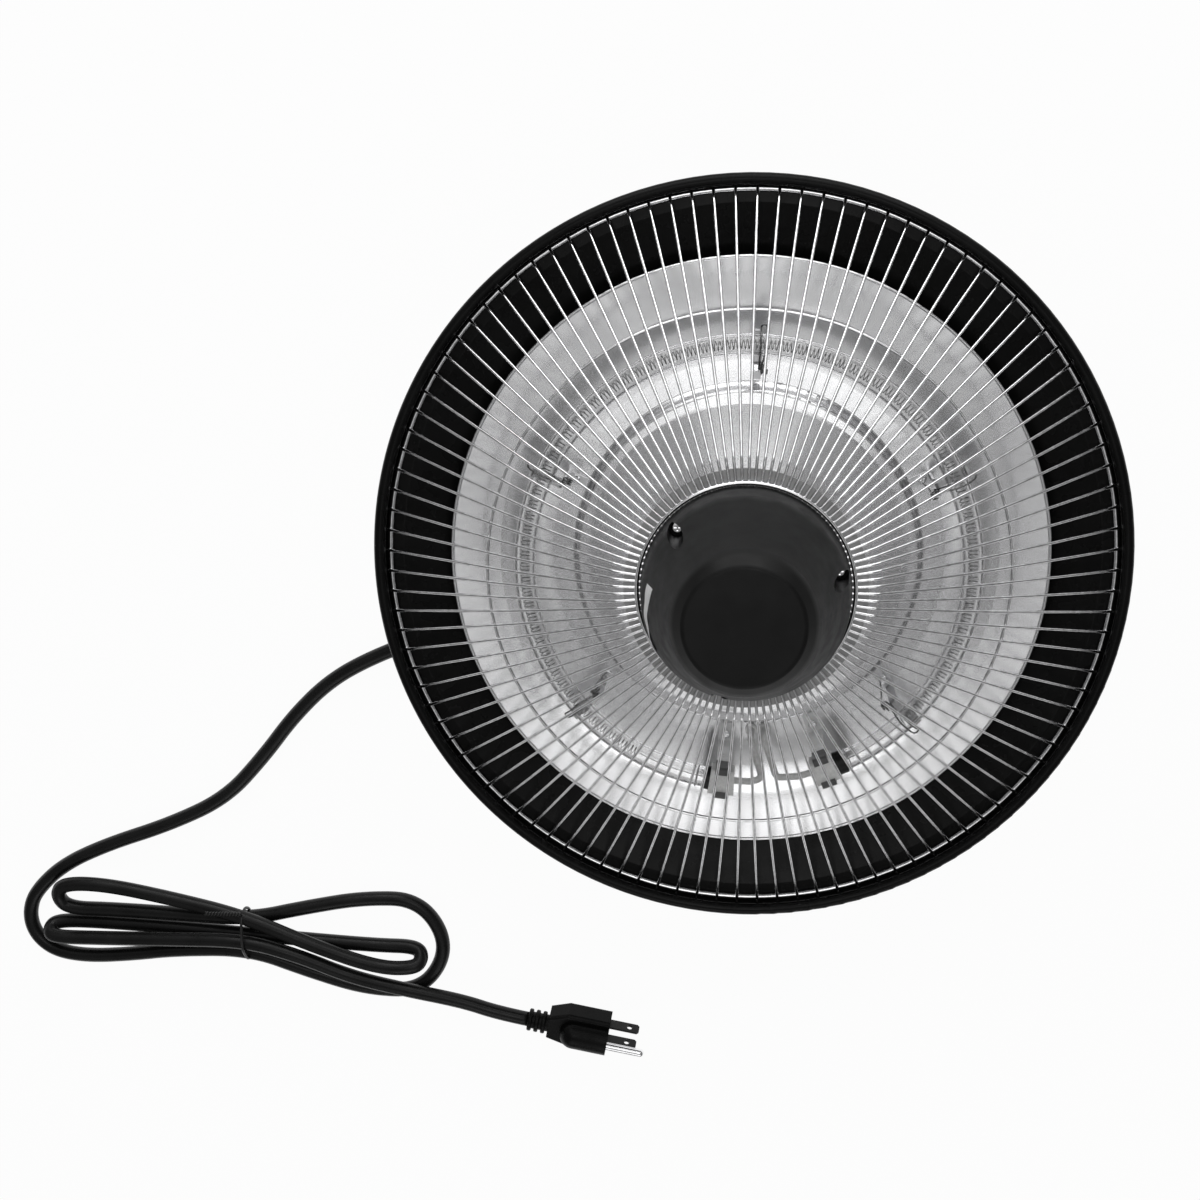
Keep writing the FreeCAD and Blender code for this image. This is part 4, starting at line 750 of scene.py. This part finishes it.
class HEATER_OT_shell_finish(bpy.types.Operator):
    """Coat the shade, cap and bail, and finish the reflector"""
    bl_idname = "heater.shell_finish"
    bl_label = "Shell finishes"

    def execute(self, context):
        colours = context.scene.heater_colours
        paint(enamel_finish("gloss_enamel", colours.enamel, 0.22, 0.32), "shade")
        paint(enamel_finish("satin_enamel", colours.enamel, 0.38, 0.5), "top_cap", "bail")
        paint(spun_aluminium(colours.aluminium), "reflector")
        return {"FINISHED"}


class HEATER_OT_guard_finish(bpy.types.Operator):
    """Plate the guard's wires and finish the hub"""
    bl_idname = "heater.guard_finish"
    bl_label = "Guard and hub finishes"

    def execute(self, context):
        colours = context.scene.heater_colours
        wire = metal_finish("plated_wire", colours.plating, 0.10, 0.18, 3 * MM)
        paint(wire, "guard_spokes", "guard_outer_ring", "guard_middle_ring", "guard_inner_ring")
        screw = metal_finish("plated_screw", colours.plating, 0.08, 0.16, 2 * MM)
        paint(screw, "hub_screws", "clip_screws", "bail_pivots")
        paint(moulded_finish("hub_plastic", colours.hub, 0.36, 0.46, 0.5 * MM, 0.18), "hub_cover")
        return {"FINISHED"}


class HEATER_OT_fittings_finish(bpy.types.Operator):
    """Finish the clips, leads, wiring, gland and plug"""
    bl_idname = "heater.fittings_finish"
    bl_label = "Fittings finishes"

    def execute(self, context):
        colours = context.scene.heater_colours
        bracket = metal_finish("bracket_steel", colours.steel, 0.26, 0.4, 3 * MM)
        paint(bracket, "tube_clip_brackets")
        paint(holder_finish(colours.holder), "tube_end_holders")
        zinc = metal_finish("zinc_plate", colours.steel, 0.3, 0.45, 6 * MM)
        paint(zinc, "center_column", "tie_rod", "tie_rod_nuts", "reflector_standoffs", "cap_screws",
              "bail_nuts", "thermal_cutout")
        paint(metal_finish("plate_steel", colours.plate, 0.34, 0.5, 6 * MM), "hub_base_plate")
        paint(ceramic_finish(colours.ceramic), "tube_end_caps", "lead_bushings", "terminal_block")
        paint(sleeve_finish(colours.ceramic), "lead_sleeves")
        paint(moulded_finish("wire_jacket", colours.wiring, 0.35, 0.5, 0.5 * MM), "inner_wires")
        rubber = moulded_finish("moulded_rubber", colours.rubber, 0.34, 0.46, 0.6 * MM, 0.12)
        paint(rubber, "cord_gland", "plug_strain_relief", "plug_body")
        paint(metal_finish("dark_brass", colours.blade, 0.25, 0.45, 4 * MM), "plug_blades")
        paint(metal_finish("plated_pin", colours.plating, 0.10, 0.18, 8 * MM), "plug_ground_pin")
        return {"FINISHED"}


# Stage


def box_light(name, place, target, width, height, power):
    """A soft box at a place, facing a target."""
    lamp = bpy.data.lights.new(name, "AREA")
    lamp.shape = "RECTANGLE"
    lamp.size = width
    lamp.size_y = height
    lamp.energy = power
    light = linked(name, lamp)
    facing = (Vector(target) - Vector(place)).to_track_quat("-Z", "Y").to_matrix().to_4x4()
    light.matrix_world = Matrix.Translation(place) @ facing


def floor_finish(colour):
    """Pale floor that the camera and the metals see as white, with the heater's shadow on it."""
    material, shader = new_finish("pale_floor", colour, 0.9)
    shader.inputs["Specular IOR Level"].default_value = 0.0
    rays = node(material, "ShaderNodeLightPath", {}).outputs
    seen = rays["Is Camera Ray"]
    for name in ("Is Glossy Ray", "Is Transmission Ray"):
        seen = node(material, "ShaderNodeMath", {0: seen, 1: rays[name]}, operation="MAXIMUM").outputs[0]
    share = node(material, "ShaderNodeMath", {0: seen, 1: FLOOR_GLOW}, operation="MULTIPLY").outputs[0]
    glow = node(material, "ShaderNodeEmission", {"Color": (1.0, 1.0, 1.0, 1.0), "Strength": 1.0}).outputs[0]
    mix = node(material, "ShaderNodeMixShader", {0: share, 1: shader.outputs[0], 2: glow})
    output = material.node_tree.nodes["Material Output"]
    material.node_tree.links.new(mix.outputs[0], output.inputs["Surface"])
    return material


class HEATER_OT_stage(bpy.types.Operator):
    """Set up the floor, the light and the photograph's camera"""
    bl_idname = "heater.stage"
    bl_label = "Stage"

    def execute(self, context):
        settings = context.scene.heater_stage
        self.floor(settings)
        self.light(context.scene, settings)
        self.camera(context.scene)
        context.scene.view_settings.view_transform = "Standard"
        return {"FINISHED"}

    def floor(self, settings):
        shape = bmesh.new()
        bmesh.ops.create_grid(shape, x_segments=1, y_segments=1, size=settings.floor_side / 2)
        mesh = bpy.data.meshes.new("floor")
        shape.to_mesh(mesh)
        shape.free()
        mesh.materials.append(floor_finish(settings.floor))
        linked("floor", mesh)

    def light(self, scene, settings):
        world = bpy.data.worlds.new("even_sky")
        world.use_nodes = True
        sky = world.node_tree.nodes["Background"]
        way = node(world, "ShaderNodeTexCoord", {}).outputs["Generated"]
        parts = node(world, "ShaderNodeSeparateXYZ", {"Vector": way}).outputs
        rise = parts["Z"]
        inputs = {"Value": rise, "From Min": SKY_LOW, "From Max": SKY_HIGH, "To Min": settings.horizon,
                  "To Max": settings.zenith}
        strength = node(world, "ShaderNodeMapRange", inputs).outputs["Result"]
        steep = node(world, "ShaderNodeMath", {0: rise, 1: rise}, operation="MULTIPLY").outputs[0]
        high = node(world, "ShaderNodeMath", {0: parts["Y"], 1: steep}, operation="MULTIPLY").outputs[0]
        for (start, end), added in ((FRONT_GLOW, settings.front), (BACK_GLOW, settings.back)):
            inputs = {"Value": high, "From Min": start, "From Max": end, "To Min": 0.0, "To Max": added}
            glow = node(world, "ShaderNodeMapRange", inputs).outputs["Result"]
            strength = node(world, "ShaderNodeMath", {0: strength, 1: glow}, operation="ADD").outputs[0]
        world.node_tree.links.new(strength, sky.inputs["Strength"])
        sky.inputs["Color"].default_value = (1.0, 1.0, 1.0, 1.0)
        scene.world = world
        for name, (place, target, width, height) in LAMPS.items():
            box_light(name + "_box", place, target, width, height, getattr(settings, name + "_power"))

    def camera(self, scene):
        lens = bpy.data.cameras.new("photo_camera")
        lens.sensor_width = SENSOR_WIDTH
        lens.lens = SENSOR_WIDTH * PHOTO_FOCAL / PHOTO_SIDE
        lens.clip_start = CLIP_START
        camera = linked("photo_camera", lens)
        back = CAMERA_RIGHT.cross(CAMERA_UP)
        axes = Matrix((CAMERA_RIGHT, CAMERA_UP, back)).transposed().to_4x4()
        camera.matrix_world = Matrix.Translation(CAMERA_PLACE) @ axes
        scene.camera = camera


OPERATORS = (
    HEATER_OT_supply_cord,
    HEATER_OT_filament,
    HEATER_OT_clip_springs,
    HEATER_OT_tube_collars,
    HEATER_OT_hub_label,
    HEATER_OT_shell_finish,
    HEATER_OT_guard_finish,
    HEATER_OT_fittings_finish,
    HEATER_OT_stage,
)


class HEATER_PT_panel(bpy.types.Panel):
    """Buttons for the heater's pieces, finishes and stage"""
    bl_idname = "HEATER_PT_panel"
    bl_label = "Hanging patio heater"
    bl_space_type = "VIEW_3D"
    bl_region_type = "UI"
    bl_category = "Heater"

    def draw(self, context):
        for operator in OPERATORS:
            self.layout.operator(operator.bl_idname)


SETTINGS = {
    "heater_colours": HeaterColours,
    "heater_cord": CordSizes,
    "heater_element": ElementSizes,
    "heater_stage": StageSettings,
}


def register():
    for kind in (*SETTINGS.values(), *OPERATORS, HEATER_PT_panel):
        bpy.utils.register_class(kind)
    for name, kind in SETTINGS.items():
        setattr(bpy.types.Scene, name, PointerProperty(type=kind))


def unregister():
    for name in SETTINGS:
        delattr(bpy.types.Scene, name)
    for kind in (HEATER_PT_panel, *reversed(OPERATORS), *SETTINGS.values()):
        bpy.utils.unregister_class(kind)


def main():
    register()
    bpy.ops.heater.supply_cord()
    bpy.ops.heater.filament()
    bpy.ops.heater.clip_springs()
    bpy.ops.heater.tube_collars()
    bpy.ops.heater.hub_label()
    bpy.ops.heater.shell_finish()
    bpy.ops.heater.guard_finish()
    bpy.ops.heater.fittings_finish()
    bpy.ops.heater.stage()


if __name__ == "__main__":
    main()
